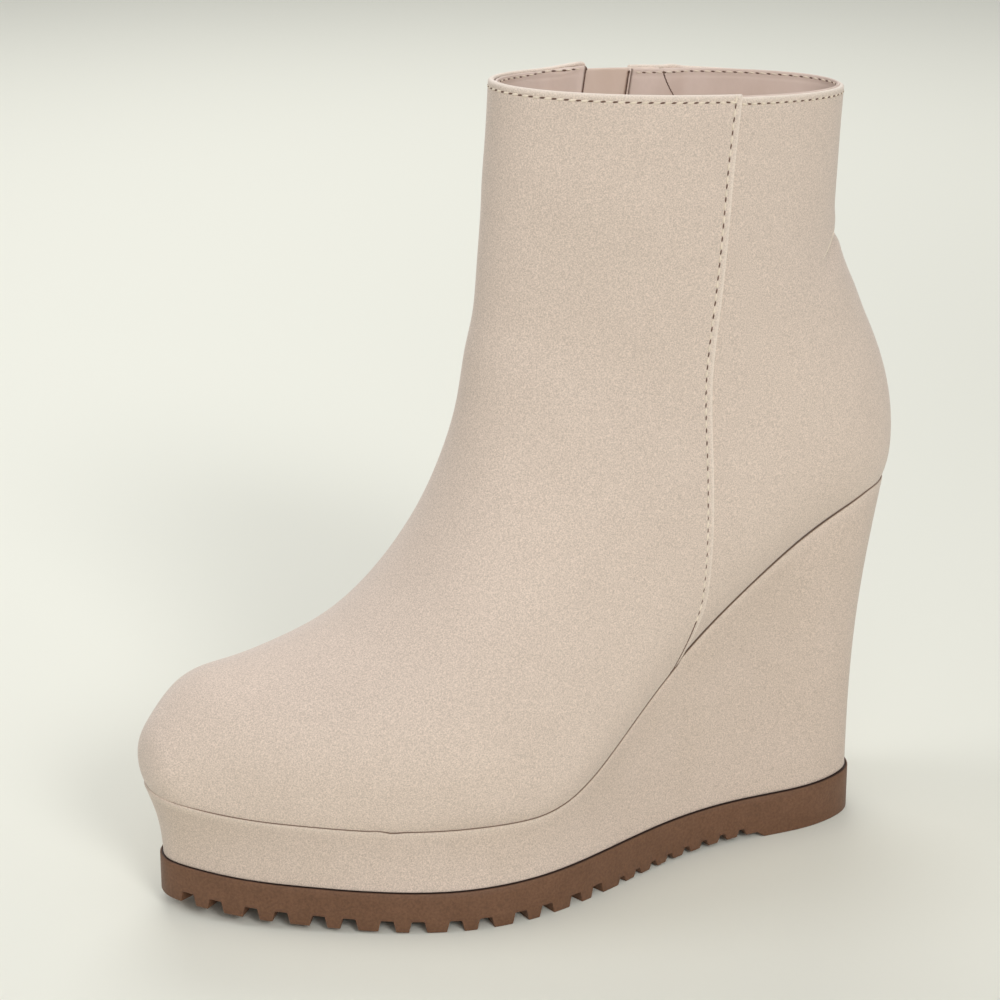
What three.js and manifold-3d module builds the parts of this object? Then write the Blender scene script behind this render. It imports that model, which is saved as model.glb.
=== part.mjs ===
// Left ankle boot on a covered platform wedge, closed by a zip on its inner side.
// Millimetres, +Z up, toe towards -X, outer side towards -Y, inner side towards +Y.
import * as THREE from 'three';
import { mergeVertices } from 'three/addons/utils/BufferGeometryUtils.js';
import Module from 'manifold-3d';

const wasm = await Module();
wasm.setup();

// Driving sizes of the last, the shaft and the wedge
const upperLength = 242;
const ballWidth = 90;
const collarHeight = 232.3;
const collarDrop = 6.5;
const heelHeight = 104.5;
const platformHeight = 30;
const toeSpring = 5.5;
const toeBuild = 2.8;

// Upper: one wall, the front panel laid over the back panel at the side seam
const upperWall = 2.0;
const panelStep = 0.8;
const seatTuck = 9;
const seamMargin = 2.5;
const zipShift = 5;
const seatGap = 0.3;

// Platform wedge
const wedgeProud = 0.5;
const wedgeHollow = 0.7;
const heelHollow = 2.0;
const wedgeEdgeRound = 1.4;

// Outsole
const soleSetback = 5;
const heelSetback = 16.7;
const soleProud = 1.5;
const ballThickness = 11.3;
const heelThickness = 14;
const waistRise = 1.8;
const waistStart = 0.555;
const heelBlockLength = 41;
const heelBlockSlant = 2;
const lugDepth = 3.0;
const toeBlock = 9.5;
const wideLug = 6.4;
const narrowLug = 4.4;
const lugGap = 4.4;
const lugReach = 15;
const ribWidth = 4.2;
const ribGap = 2.65;
const ribDepth = 2.1;
const ribReach = 19;

// Insole, zip and the leather strip behind the zip
const insoleThickness = 3;
const zipLength = 104;
const slotWidth = 12.6;
const tapeThickness = 1.0;
const tapeDepth = 1.0;
const teethWidth = 5.2;
const teethHeight = 0.7;
const guardWidth = 32;
const guardThickness = 1.2;
const guardOverlap = 7;

// Zip slider and its pull tab
const sliderDrop = 13;
const sliderHeight = 10.5;
const sliderWidth = 8;
const sliderNose = 5.4;
const sliderThickness = 2.0;
const pinRise = 1.3;
const pinRadius = 0.8;
const pinLength = 3.4;
const earThickness = 1.0;
const earWall = 0.6;
const knuckleWall = 0.8;
const tabLength = 22;
const tabWidth = 5.6;
const tabThickness = 1.3;
const tabShoulder = 3.4;
const tabCorner = 1.7;
const runningGap = 0.3;

// How fine the curved faces are
const rowsPerSpan = 2;
const columnsAround = 38;
const edgeStations = 36;
const wallRows = 5;
const seatStep = 6;
const roundSteps = 16;

// How far cutting bodies pass what they cut, halvings of a search, weld of equal points
const overcut = 2;
const reachPast = 40;
const halvings = 40;
const weld = 1e-4;

// A short table as rows of numbers under named columns
function table(columns, rows) {
  return rows.map((row) => Object.fromEntries(columns.map((name, i) => [name, row[i]])));
}

// Sections over the foot. along_low and along_top: shares of upperLength from the toe.
// tuck: how far under the seat the skin turns in, share of seatTuck. top: share of the
// height from platform to collar. half, swing: half width and shift towards the inner
// side, shares of ballWidth. widest: share of the section's height. round_low and
// round_top: 2 is an ellipse, more is fuller.
const footSections = table([
  'along_low', 'tuck', 'along_top', 'top', 'half',
  'swing', 'widest', 'round_low', 'round_top',
], [
  [0.000, 0.00, 0.000, 0.072, 0.000, 0.130, 0.50, 2.0, 2.0],
  [0.006, -0.10, 0.004, 0.110, 0.090, 0.133, 0.50, 2.1, 2.0],
  [0.036, 0.80, 0.025, 0.148, 0.165, 0.146, 0.47, 2.4, 2.05],
  [0.076, 1.00, 0.064, 0.187, 0.245, 0.146, 0.43, 3.0, 2.1],
  [0.150, 1.00, 0.129, 0.206, 0.348, 0.117, 0.40, 3.3, 2.1],
  [0.240, 1.00, 0.195, 0.224, 0.432, 0.078, 0.38, 3.6, 2.1],
  [0.338, 1.00, 0.257, 0.260, 0.488, 0.037, 0.38, 3.6, 2.0],
  [0.437, 1.00, 0.314, 0.323, 0.496, 0.010, 0.38, 3.8, 2.0],
  [0.535, 1.00, 0.355, 0.398, 0.450, 0.000, 0.40, 3.2, 2.0],
  [0.650, 1.00, 0.384, 0.482, 0.402, 0.000, 0.42, 2.8, 2.0],
  [0.781, 1.00, 0.401, 0.562, 0.380, 0.000, 0.42, 2.6, 2.05],
  [0.896, 1.00, 0.410, 0.633, 0.370, 0.000, 0.42, 2.5, 2.1],
]);

// Sections of heel and shaft. rise: share of the height from heel seat to back collar.
const shaftSections = table([
  'along_low', 'rise', 'along_top', 'top',
  'half', 'widest', 'round_low', 'round_top',
], [
  [0.980, -0.030, 0.419, 0.682, 0.366, 0.43, 2.3, 2.1],
  [0.998, 0.130, 0.424, 0.732, 0.366, 0.44, 2.2, 2.1],
  [0.984, 0.285, 0.428, 0.778, 0.366, 0.45, 2.1, 2.1],
  [0.944, 0.455, 0.432, 0.825, 0.364, 0.46, 2.1, 2.1],
  [0.903, 0.620, 0.435, 0.873, 0.362, 0.47, 2.1, 2.1],
  [0.900, 0.740, 0.438, 0.915, 0.358, 0.48, 2.1, 2.1],
  [0.910, 1.000, 0.442, 1.000, 0.345, 0.50, 2.1, 2.1],
]);

// Toe: share of toeSpring and toeBuild along the upper's length
const toeLift = table(['along', 'lift'], [
  [0.000, 1.00],
  [0.030, 0.80],
  [0.100, 0.45],
  [0.150, 0.30],
  [0.205, 0.15],
  [0.260, 0.04],
  [0.310, 0.00],
  [1.100, 0.00],
]);

// Foot bed: share of the climb from platform to heel along the upper's length
const seatClimb = table(['along', 'climb'], [
  [0.000, 0.000],
  [0.310, 0.000],
  [0.400, 0.003],
  [0.445, 0.024],
  [0.490, 0.080],
  [0.540, 0.178],
  [0.605, 0.340],
  [0.670, 0.520],
  [0.730, 0.655],
  [0.785, 0.760],
  [0.840, 0.858],
  [0.890, 0.940],
  [0.935, 0.988],
  [1.020, 1.000],
  [1.100, 1.000],
]);

// Outline of the outsole: shares of soleLength from its toe, and of ballWidth to each side
const soleOutline = table(['along', 'outer', 'inner'], [
  [0.000, -0.144, 0.144],
  [0.022, -0.033, 0.272],
  [0.058, 0.067, 0.350],
  [0.140, 0.228, 0.444],
  [0.230, 0.367, 0.500],
  [0.330, 0.467, 0.517],
  [0.440, 0.480, 0.494],
  [0.545, 0.417, 0.422],
  [0.660, 0.339, 0.350],
  [0.770, 0.314, 0.328],
  [0.870, 0.330, 0.330],
  [0.940, 0.300, 0.300],
  [0.980, 0.225, 0.225],
  [1.000, 0.000, 0.000],
]);

// Side seam seen from the side: share of the height from platform to collar, and of length
const sideSeam = table(['height', 'along'], [
  [0.00, 0.588],
  [0.16, 0.626],
  [0.27, 0.650],
  [0.40, 0.652],
  [0.57, 0.651],
  [0.72, 0.661],
  [0.87, 0.673],
  [1.02, 0.693],
]);

// Smooth curve through values at rising knots, level at the start where asked
function splineThrough(knots, values, levelStart) {
  const last = knots.length - 1;
  const step = knots.slice(1).map((knot, i) => knot - knots[i]);
  const slope = step.map((length, i) => (values[i + 1] - values[i]) / length);
  const diagonal = new Array(last + 1).fill(1);
  const upper = new Array(last + 1).fill(0);
  const right = new Array(last + 1).fill(0);
  if (levelStart) {
    diagonal[0] = 2 * step[0];
    upper[0] = step[0];
    right[0] = 6 * slope[0];
  }
  for (let i = 1; i < last; i++) {
    const share = step[i - 1] / diagonal[i - 1];
    diagonal[i] = 2 * (step[i - 1] + step[i]) - share * upper[i - 1];
    upper[i] = step[i];
    right[i] = 6 * (slope[i] - slope[i - 1]) - share * right[i - 1];
  }
  const bend = new Array(last + 1).fill(0);
  for (let i = last - 1; i >= 0; i--) {
    bend[i] = (right[i] - upper[i] * bend[i + 1]) / diagonal[i];
  }
  return (t) => {
    let i = 0;
    while (i < last - 1 && t >= knots[i + 1]) i++;
    const after = (knots[i + 1] - t) / step[i];
    const before = (t - knots[i]) / step[i];
    const curve = (after ** 3 - after) * bend[i] + (before ** 3 - before) * bend[i + 1];
    return after * values[i] + before * values[i + 1] + curve * step[i] ** 2 / 6;
  };
}

// Curve through a table that never overshoots its rows
function easeThrough(rows, key, value) {
  const last = rows.length - 1;
  const step = rows.slice(1).map((row, i) => row[key] - rows[i][key]);
  const slope = step.map((length, i) => (rows[i + 1][value] - rows[i][value]) / length);
  const tangent = rows.map((row, i) => {
    if (i === 0) return slope[0];
    if (i === last) return slope[last - 1];
    if (slope[i - 1] * slope[i] <= 0) return 0;
    return 2 * slope[i - 1] * slope[i] / (slope[i - 1] + slope[i]);
  });
  return (share) => {
    const u = Math.min(Math.max(share, rows[0][key]), rows[last][key]);
    let i = 0;
    while (i < last - 1 && u >= rows[i + 1][key]) i++;
    const q = (u - rows[i][key]) / step[i];
    const start = (2 * q ** 3 - 3 * q ** 2 + 1) * rows[i][value];
    const end = (3 * q ** 2 - 2 * q ** 3) * rows[i + 1][value];
    const lean = (q ** 3 - 2 * q ** 2 + q) * tangent[i] + (q ** 3 - q ** 2) * tangent[i + 1];
    return start + end + lean * step[i];
  };
}

// Heights along the boot, x measured from the toe of the upper
const liftShare = easeThrough(toeLift, 'along', 'lift');
const climbShare = easeThrough(seatClimb, 'along', 'climb');
const groundLift = (x) => toeSpring * liftShare(x / upperLength);
const seatHeight = (x) =>
  platformHeight
  + (heelHeight - platformHeight) * climbShare(x / upperLength)
  + (toeSpring + toeBuild) * liftShare(x / upperLength);
const soleFront = soleSetback;
const soleRear = upperLength - heelSetback;
const soleLength = soleRear - soleFront;
const soleTop = (x) => {
  const share = THREE.MathUtils.clamp((x - soleFront) / soleLength, 0, 1);
  return groundLift(x) + ballThickness + (heelThickness - ballThickness) * share;
};
const seamAlong = easeThrough(sideSeam, 'height', 'along');
const seamX = (z) =>
  upperLength * seamAlong((z - platformHeight) / (collarHeight - platformHeight));
const zipX = (z) => seamX(z) - zipShift;

// Sections in millimetres
const topHeight = (share) => platformHeight + (collarHeight - platformHeight) * share;
const backCollar = collarHeight - collarDrop;
const sections = [
  ...footSections.map((row) => {
    const underBedZ = seatHeight(row.along_low * upperLength) - row.tuck * seatTuck;
    return {
      low_x: row.along_low * upperLength,
      low_z: row.half === 0 ? topHeight(row.top) : underBedZ,
      top_x: row.along_top * upperLength,
      top_z: topHeight(row.top),
      half: row.half * ballWidth,
      swing: row.swing * ballWidth,
      widest: row.widest,
      round_low: row.round_low,
      round_top: row.round_top,
    };
  }),
  ...shaftSections.map((row) => ({
    low_x: row.along_low * upperLength,
    low_z: heelHeight + row.rise * (backCollar - heelHeight),
    top_x: row.along_top * upperLength,
    top_z: topHeight(row.top),
    half: row.half * ballWidth,
    swing: 0,
    widest: row.widest,
    round_low: row.round_low,
    round_top: row.round_top,
  })),
];

// Place of each section along the skin, 0 at the toe and 1 at the collar
const sectionPlace = [0];
for (let i = 1; i < sections.length; i++) {
  const a = sections[i - 1];
  const b = sections[i];
  const low = Math.hypot(b.low_x - a.low_x, b.low_z - a.low_z);
  const top = Math.hypot(b.top_x - a.top_x, b.top_z - a.top_z);
  sectionPlace.push(sectionPlace[i - 1] + (low + top) / 2);
}
const skinLength = sectionPlace[sectionPlace.length - 1];
sectionPlace.forEach((length, i) => { sectionPlace[i] = length / skinLength; });

const levelAtToe = ['low_x', 'top_x', 'widest', 'round_low', 'round_top'];
const sectionCurve = {};
for (const key of Object.keys(sections[0])) {
  const values = sections.map((row) => row[key]);
  sectionCurve[key] = splineThrough(sectionPlace, values, levelAtToe.includes(key));
}

// Point of the skin: t from toe to collar, angle 0 at the sole or heel, PI on the instep,
// positive on the outer side and negative on the inner side
function skinPoint(t, angle) {
  const at = {};
  for (const key of Object.keys(sectionCurve)) at[key] = sectionCurve[key](t);
  const turn = Math.abs(angle) - Math.PI / 2;
  const round = turn < 0 ? at.round_low : at.round_top;
  const out = Math.max(Math.cos(turn), 0) ** (2 / round);
  const rise = Math.abs(Math.sin(turn)) ** (2 / round);
  const share = turn < 0 ? at.widest * (1 - rise) : at.widest + (1 - at.widest) * rise;
  const side = angle >= 0 ? -1 : 1;
  return new THREE.Vector3(
    at.low_x + share * (at.top_x - at.low_x),
    at.swing + side * at.half * out,
    at.low_z + share * (at.top_z - at.low_z),
  );
}

function skinNormal(t, angle) {
  const probe = 2e-3;
  const from = Math.max(t, 2 * probe);
  const alongSkin = skinPoint(from + probe, angle).sub(skinPoint(from - probe, angle));
  const aroundSkin = skinPoint(from, angle + probe).sub(skinPoint(from, angle - probe));
  return alongSkin.cross(aroundSkin).normalize();
}

function skinOffset(t, angle, offset) {
  const point = skinPoint(t, angle);
  const normal = t === 0 ? new THREE.Vector3(-1, 0, 0) : skinNormal(t, angle);
  return point.addScaledVector(normal, offset);
}

// Closed solids from points and triangles
function solidFromGeometry(geometry) {
  const bare = geometry.clone();
  bare.deleteAttribute('normal');
  bare.deleteAttribute('uv');
  const merged = mergeVertices(bare, weld);
  return new wasm.Manifold(new wasm.Mesh({
    numProp: 3,
    vertProperties: new Float32Array(merged.attributes.position.array),
    triVerts: new Uint32Array(merged.index.array),
  }));
}

function solidFromFaces(points, triangles) {
  let volume = 0;
  for (const [a, b, c] of triangles) {
    volume += points[a].dot(new THREE.Vector3().crossVectors(points[b], points[c]));
  }
  const facing = volume > 0 ? triangles : triangles.map(([a, b, c]) => [a, c, b]);
  return new wasm.Manifold(new wasm.Mesh({
    numProp: 3,
    vertProperties: new Float32Array(points.flatMap((p) => [p.x, p.y, p.z])),
    triVerts: new Uint32Array(facing.flat()),
  }));
}

function geometryFromSolid(solid) {
  const mesh = solid.getMesh();
  const corners = new THREE.BufferAttribute(new Float32Array(mesh.vertProperties), 3);
  const geometry = new THREE.BufferGeometry();
  geometry.setAttribute('position', corners);
  geometry.setIndex(new THREE.BufferAttribute(new Uint32Array(mesh.triVerts), 1));
  return geometry;
}

// Everything inside the skin set out by offset, closed across the collar or above it
function skinSolid(offset, pastCollar = 0) {
  const places = [];
  for (let i = 1; i < sectionPlace.length; i++) {
    for (let j = 1; j <= rowsPerSpan; j++) {
      const share = j / rowsPerSpan;
      places.push(sectionPlace[i - 1] + share * (sectionPlace[i] - sectionPlace[i - 1]));
    }
  }
  if (pastCollar > 0) places.push(1 + pastCollar / skinLength);
  const points = [skinOffset(0, 0, offset)];
  for (const t of places) {
    for (let k = 0; k < columnsAround; k++) {
      points.push(skinOffset(t, Math.PI - 2 * Math.PI * k / columnsAround, offset));
    }
  }
  const ring = (row, k) => 1 + row * columnsAround + (k % columnsAround);
  const triangles = [];
  for (let k = 0; k < columnsAround; k++) triangles.push([0, ring(0, k), ring(0, k + 1)]);
  for (let row = 1; row < places.length; row++) {
    for (let k = 0; k < columnsAround; k++) {
      triangles.push([ring(row - 1, k), ring(row, k), ring(row, k + 1)]);
      triangles.push([ring(row - 1, k), ring(row, k + 1), ring(row - 1, k + 1)]);
    }
  }
  const middle = new THREE.Vector3();
  for (let k = 0; k < columnsAround; k++) {
    middle.addScaledVector(points[ring(places.length - 1, k)], 1 / columnsAround);
  }
  points.push(middle);
  for (let k = 0; k < columnsAround; k++) {
    triangles.push([ring(places.length - 1, k), points.length - 1, ring(places.length - 1, k + 1)]);
  }
  return solidFromFaces(points, triangles);
}

// A side view drawn as [x, z] corners, given its width from fromY to toY
function sideSolid(corners, fromY, toY) {
  const shape = new THREE.Shape(corners.map(([x, z]) => new THREE.Vector2(x, z)));
  const geometry = new THREE.ExtrudeGeometry(shape, { depth: toY - fromY, bevelEnabled: false });
  geometry.rotateX(Math.PI / 2);
  geometry.translate(0, toY, 0);
  return solidFromGeometry(geometry);
}

const farSide = ballWidth;
const startX = -reachPast;
const endX = upperLength + reachPast;

function stationsBetween(from, to, step) {
  const count = Math.max(2, Math.round((to - from) / step));
  return Array.from({ length: count + 1 }, (unused, i) => from + (to - from) * i / count);
}

// Everything below, or a layer above, the foot bed
function bedSolid(lower, upper) {
  const stations = stationsBetween(startX, endX, seatStep);
  const top = stations.map((x) => [x, seatHeight(x) + upper]);
  const bottom = lower === null
    ? [[endX, -reachPast], [startX, -reachPast]]
    : stations.map((x) => [x, seatHeight(x) + lower]).reverse();
  return sideSolid([...top, ...bottom], -farSide, farSide);
}

// Strip of the side view that follows a line of x over z
function strip(lineX, fromOffset, toOffset, fromZ, toZ, fromY, toY) {
  const heights = stationsBetween(fromZ, toZ, seatStep);
  const left = heights.map((z) => [lineX(z) + fromOffset, z]);
  const right = heights.map((z) => [lineX(z) + toOffset, z]).reverse();
  return sideSolid([...left, ...right], fromY, toY);
}

// Upper
const fullWall = upperWall + panelStep;
const slotBottom = collarHeight - collarDrop / 2 - zipLength;
const aboveCollar = collarHeight + reachPast;

function makeUpper() {
  const behindOuterSeam = strip(seamX, seamMargin, upperLength, -reachPast, aboveCollar, -farSide, 0);
  const behindZip = strip(zipX, 0, upperLength, -reachPast, aboveCollar, 0, farSide);
  const frontPanel = skinSolid(0).subtract(behindOuterSeam).subtract(behindZip);
  const slot =
    strip(zipX, -slotWidth / 2, slotWidth / 2, slotBottom, aboveCollar, overcut, farSide);
  return skinSolid(-panelStep)
    .add(frontPanel)
    .subtract(skinSolid(-fullWall, reachPast))
    .subtract(bedSolid(null, 0))
    .subtract(slot);
}

// Insole, cut from the inside of the upper and laid on the foot bed
function makeInsole() {
  return skinSolid(-fullWall - seatGap).intersect(bedSolid(0, insoleThickness));
}

// Zip: two tapes as one strip between the panel edges, with the closed teeth raised on it
function makeZip() {
  const halfTape = slotWidth / 2 - seatGap;
  const halfTeeth = teethWidth / 2;
  const zipBottom = slotBottom + seatGap;
  const tapeRegion = strip(zipX, -halfTape, halfTape, zipBottom, aboveCollar, overcut, farSide);
  const teethRegion = strip(zipX, -halfTeeth, halfTeeth, zipBottom, aboveCollar, overcut, farSide);
  const tapeFace = panelStep + tapeDepth - teethHeight;
  const tape = skinSolid(-tapeFace).intersect(tapeRegion);
  const teeth = skinSolid(teethHeight - tapeFace).intersect(teethRegion);
  return tape.add(teeth).subtract(skinSolid(-tapeFace - tapeThickness, reachPast));
}

function makeZipGuard() {
  const outside = fullWall + seatGap;
  const halfGuard = guardWidth / 2;
  const guardBottom = slotBottom - guardOverlap;
  const region = strip(zipX, -halfGuard, halfGuard, guardBottom, aboveCollar, overcut, farSide);
  return skinSolid(-outside)
    .intersect(region)
    .subtract(skinSolid(-outside - guardThickness, reachPast));
}

// Where the skin meets the foot bed, for a section at t
function featherAngle(t) {
  let low = 0;
  let high = Math.PI / 2;
  for (let i = 0; i < halvings; i++) {
    const middle = (low + high) / 2;
    const point = skinPoint(t, middle);
    if (point.z < seatHeight(point.x)) low = middle;
    else high = middle;
  }
  return (low + high) / 2;
}

const underBed = (t) => {
  const point = skinPoint(t, 0);
  return point.z < seatHeight(point.x);
};

// Both ends of the foot bed, looked for from the middle of the foot
const midFoot = sectionPlace[Math.round(footSections.length / 2)];

function bedCrossing(end) {
  let within = midFoot;
  let beyond = end;
  for (let i = 0; i < halvings; i++) {
    const middle = (within + beyond) / 2;
    if (underBed(middle)) within = middle;
    else beyond = middle;
  }
  return (within + beyond) / 2;
}

const featherStart = bedCrossing(0);
const featherEnd = bedCrossing(1);

// Shares of the length, close together at both ends, so that rounded ends come out round
const stationShare = (i) => (1 - Math.cos(Math.PI * i / edgeStations)) / 2;

function featherPoints(side) {
  const first = skinPoint(featherStart, 0);
  const lastPoint = skinPoint(featherEnd, 0);
  return Array.from({ length: edgeStations + 1 }, (unused, i) => {
    if (i === 0) return first;
    if (i === edgeStations) return lastPoint;
    const target = first.x + (lastPoint.x - first.x) * stationShare(i);
    let low = featherStart;
    let high = featherEnd;
    for (let k = 0; k < halvings; k++) {
      const middle = (low + high) / 2;
      if (skinPoint(middle, featherAngle(middle)).x < target) low = middle;
      else high = middle;
    }
    return skinPoint(low, side * featherAngle(low));
  });
}

// Sole outline at the same stations
const outlineKnots = soleOutline.map((row) => Math.acos(1 - 2 * row.along) / Math.PI);
const outerEdge = splineThrough(outlineKnots, soleOutline.map((row) => row.outer), false);
const innerEdge = splineThrough(outlineKnots, soleOutline.map((row) => row.inner), false);

function solePoints(side) {
  const edge = side > 0 ? outerEdge : innerEdge;
  return Array.from({ length: edgeStations + 1 }, (unused, i) => {
    const y = -side * ballWidth * edge(i / edgeStations);
    return new THREE.Vector3(soleFront + soleLength * stationShare(i), y, 0);
  });
}

// One closed ring: outer side from toe to heel, then the inner side back to the toe
function closeRing(outer, inner) {
  return [...outer, ...inner.slice(1, -1).reverse()];
}

// Plan direction out of a ring at one of its points
function outwardAt(ring, i) {
  const next = ring[(i + 1) % ring.length];
  const previous = ring[(i + ring.length - 1) % ring.length];
  return new THREE.Vector3(next.y - previous.y, previous.x - next.x, 0).normalize();
}

function widened(ring, distance) {
  return ring.map((point, i) => point.clone().addScaledVector(outwardAt(ring, i), distance));
}

const soleRing = closeRing(solePoints(1), solePoints(-1));
const featherRing = closeRing(featherPoints(1), featherPoints(-1));

// Flat plan faces are strips between the two sides, so that they follow the foot bed
function ringStrips(base, flip) {
  const count = 2 * edgeStations;
  const triangles = [];
  for (let i = 0; i < edgeStations; i++) {
    const outerA = base + i;
    const outerB = base + i + 1;
    const innerA = base + (count - i) % count;
    const innerB = base + count - i - 1;
    if (i < edgeStations - 1) triangles.push([outerA, outerB, innerB]);
    if (i > 0) triangles.push([outerA, i < edgeStations - 1 ? innerB : outerB, innerA]);
  }
  return flip ? triangles.map(([a, b, c]) => [a, c, b]) : triangles;
}

// Platform and wedge in one: from the sole up to the feather line, its wall a little hollow
function makePlatformWedge() {
  const bottom = widened(soleRing, -soleProud);
  const top = widened(featherRing, wedgeProud);
  const walls = stationsBetween(0, 1, 1 / wallRows).map((share) => top.map((upper, i) => {
    const lower = bottom[i];
    const topZ = seatHeight(upper.x) - seatGap - wedgeEdgeRound;
    const bottomZ = soleTop(lower.x) + seatGap;
    const hollow = wedgeHollow + heelHollow * (topZ - bottomZ) / heelHeight;
    return lower.clone()
      .lerp(upper, share)
      .addScaledVector(outwardAt(top, i), -hollow * Math.sin(Math.PI * share))
      .setZ(bottomZ + (topZ - bottomZ) * share);
  }));
  const halfRound = wedgeEdgeRound * (1 - Math.SQRT1_2);
  for (const [inset, drop] of [[halfRound, halfRound], [wedgeEdgeRound, 0]]) {
    walls.push(widened(top, -inset).map((p) => p.setZ(seatHeight(p.x) - seatGap - drop)));
  }
  const points = walls.flat();
  const count = 2 * edgeStations;
  const triangles = ringStrips(0, false);
  for (let row = 1; row < walls.length; row++) {
    for (let i = 0; i < count; i++) {
      const next = (i + 1) % count;
      const a = (row - 1) * count + i;
      const b = (row - 1) * count + next;
      const c = row * count + next;
      const d = row * count + i;
      triangles.push([b, a, d], [b, d, c]);
    }
  }
  triangles.push(...ringStrips((walls.length - 1) * count, true));
  return solidFromFaces(points, triangles);
}

// Walks one side of the sole outline and gives place and direction at a length from the toe
function edgeWalk(side) {
  const points = solePoints(side);
  const lengths = [0];
  for (let i = 1; i < points.length; i++) {
    lengths.push(lengths[i - 1] + points[i].distanceTo(points[i - 1]));
  }
  return (length) => {
    let i = 1;
    while (i < points.length - 1 && lengths[i] < length) i++;
    const share = (length - lengths[i - 1]) / (lengths[i] - lengths[i - 1]);
    const point = points[i - 1].clone().lerp(points[i], share);
    const angle = Math.atan2(points[i].y - points[i - 1].y, points[i].x - points[i - 1].x);
    return { point, angle };
  };
}

function grooveBox(place, width, reach, depth) {
  const box = new THREE.BoxGeometry(width, 2 * reach, 2 * depth);
  box.rotateZ(place.angle);
  box.translate(place.point.x, place.point.y, 0);
  return box;
}

// Outsole: plan outline and side profile, notched all round the forepart, ribbed at the waist
function makeOutsole() {
  const outline = new THREE.Shape(soleRing.map((p) => new THREE.Vector2(p.x, p.y)));
  const tall = new THREE.ExtrudeGeometry(outline, { depth: 2 * reachPast, bevelEnabled: false });
  tall.translate(0, 0, -reachPast);
  const blockFront = soleRear - heelBlockLength;
  const archStart = soleFront + soleLength * waistStart;
  const underside = (x) => {
    const share = THREE.MathUtils.clamp((x - archStart) / (blockFront - archStart), 0, 1);
    return groundLift(x) + waistRise * share;
  };
  const topLine = stationsBetween(soleFront - overcut, soleRear + overcut, seatStep);
  const waistLine = stationsBetween(soleFront - overcut, blockFront - heelBlockSlant, seatStep);
  const profile = [
    ...topLine.map((x) => [x, soleTop(x)]),
    [soleRear + overcut, 0],
    [blockFront, 0],
    ...waistLine.reverse().map((x) => [x, underside(x)]),
  ];
  let sole = sideSolid(profile, -farSide, farSide).intersect(solidFromGeometry(tall));
  for (const side of [1, -1]) {
    const walk = edgeWalk(side);
    const notchEnd = archStart - wideLug;
    let length = toeBlock;
    let wide = false;
    let place = walk(length);
    while (place.point.x < notchEnd) {
      const depth = underside(place.point.x) + lugDepth;
      const reach = Math.min(lugReach, length);
      sole = sole.subtract(solidFromGeometry(grooveBox(place, lugGap, reach, depth)));
      length += lugGap + (wide ? wideLug : narrowLug);
      wide = !wide;
      place = walk(length);
    }
    while (place.point.x < blockFront - heelBlockSlant - ribGap) {
      const depth = underside(place.point.x) + ribDepth;
      sole = sole.subtract(solidFromGeometry(grooveBox(place, ribGap, ribReach, depth)));
      length += ribGap + ribWidth;
      place = walk(length);
    }
  }
  return sole;
}

// Slider lies on the closed teeth under the collar, its pin level and along the boot
const zip = makeZip();
const sliderZ = collarHeight - collarDrop / 2 - sliderDrop;
const sliderX = zipX(sliderZ);
const behindSlider = sideSolid([
  [sliderX - sliderWidth / 2, sliderZ - sliderHeight / 2],
  [sliderX + sliderWidth / 2, sliderZ - sliderHeight / 2],
  [sliderX + sliderWidth / 2, sliderZ + sliderHeight / 2],
  [sliderX - sliderWidth / 2, sliderZ + sliderHeight / 2],
], overcut, farSide);
const sliderBack = zip.intersect(behindSlider).boundingBox().max[1] + seatGap;
const sliderFace = sliderBack + sliderThickness;
const knuckleRadius = pinRadius + runningGap + knuckleWall;
const pinY = sliderFace + knuckleRadius + runningGap;
const pinZ = sliderZ + pinRise;

function alongX(geometry, x, y, z) {
  geometry.rotateZ(Math.PI / 2);
  geometry.translate(x, y, z);
  return geometry;
}

function makeSlider() {
  const half = sliderWidth / 2;
  const nose = sliderNose / 2;
  const high = sliderHeight / 2;
  const plate = sideSolid([
    [sliderX - half, sliderZ + high - nose],
    [sliderX - nose, sliderZ + high],
    [sliderX + nose, sliderZ + high],
    [sliderX + half, sliderZ + high - nose],
    [sliderX + nose, sliderZ - high],
    [sliderX - nose, sliderZ - high],
  ], sliderBack, sliderFace);
  const pinWhole = pinLength + 2 * earThickness;
  const pin = new THREE.CylinderGeometry(pinRadius, pinRadius, pinWhole, roundSteps);
  let slider = plate.add(solidFromGeometry(alongX(pin, sliderX, pinY, pinZ)));
  const earRadius = pinRadius + earWall;
  const earFoot = sliderFace - sliderThickness / 2;
  const earTop = pinY + earRadius;
  for (const side of [-1, 1]) {
    const ear = new THREE.BoxGeometry(earThickness, earTop - earFoot, 2 * earRadius);
    const earX = sliderX + side * (pinLength + earThickness) / 2;
    ear.translate(earX, (earTop + earFoot) / 2, pinZ);
    slider = slider.add(solidFromGeometry(ear));
  }
  return slider;
}

function makePullTab() {
  const neck = pinLength / 2 - runningGap;
  const bore = pinRadius + runningGap;
  const ring = new THREE.LatheGeometry([
    new THREE.Vector2(bore, -neck),
    new THREE.Vector2(knuckleRadius, -neck),
    new THREE.Vector2(knuckleRadius, neck),
    new THREE.Vector2(bore, neck),
    new THREE.Vector2(bore, -neck),
  ], roundSteps);
  const eye = solidFromGeometry(alongX(ring, sliderX, pinY, pinZ));
  const neckTop = pinZ - bore - knuckleWall / 2;
  const wideTop = pinZ - knuckleRadius - tabShoulder;
  const endZ = pinZ - tabLength;
  const half = tabWidth / 2;
  const blade = sideSolid([
    [sliderX - neck, neckTop],
    [sliderX + neck, neckTop],
    [sliderX + half, wideTop],
    [sliderX + half, endZ + tabCorner],
    [sliderX + half - tabCorner, endZ],
    [sliderX - half + tabCorner, endZ],
    [sliderX - half, endZ + tabCorner],
    [sliderX - half, wideTop],
  ], pinY - tabThickness / 2, pinY + tabThickness / 2);
  return eye.add(blade);
}

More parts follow.
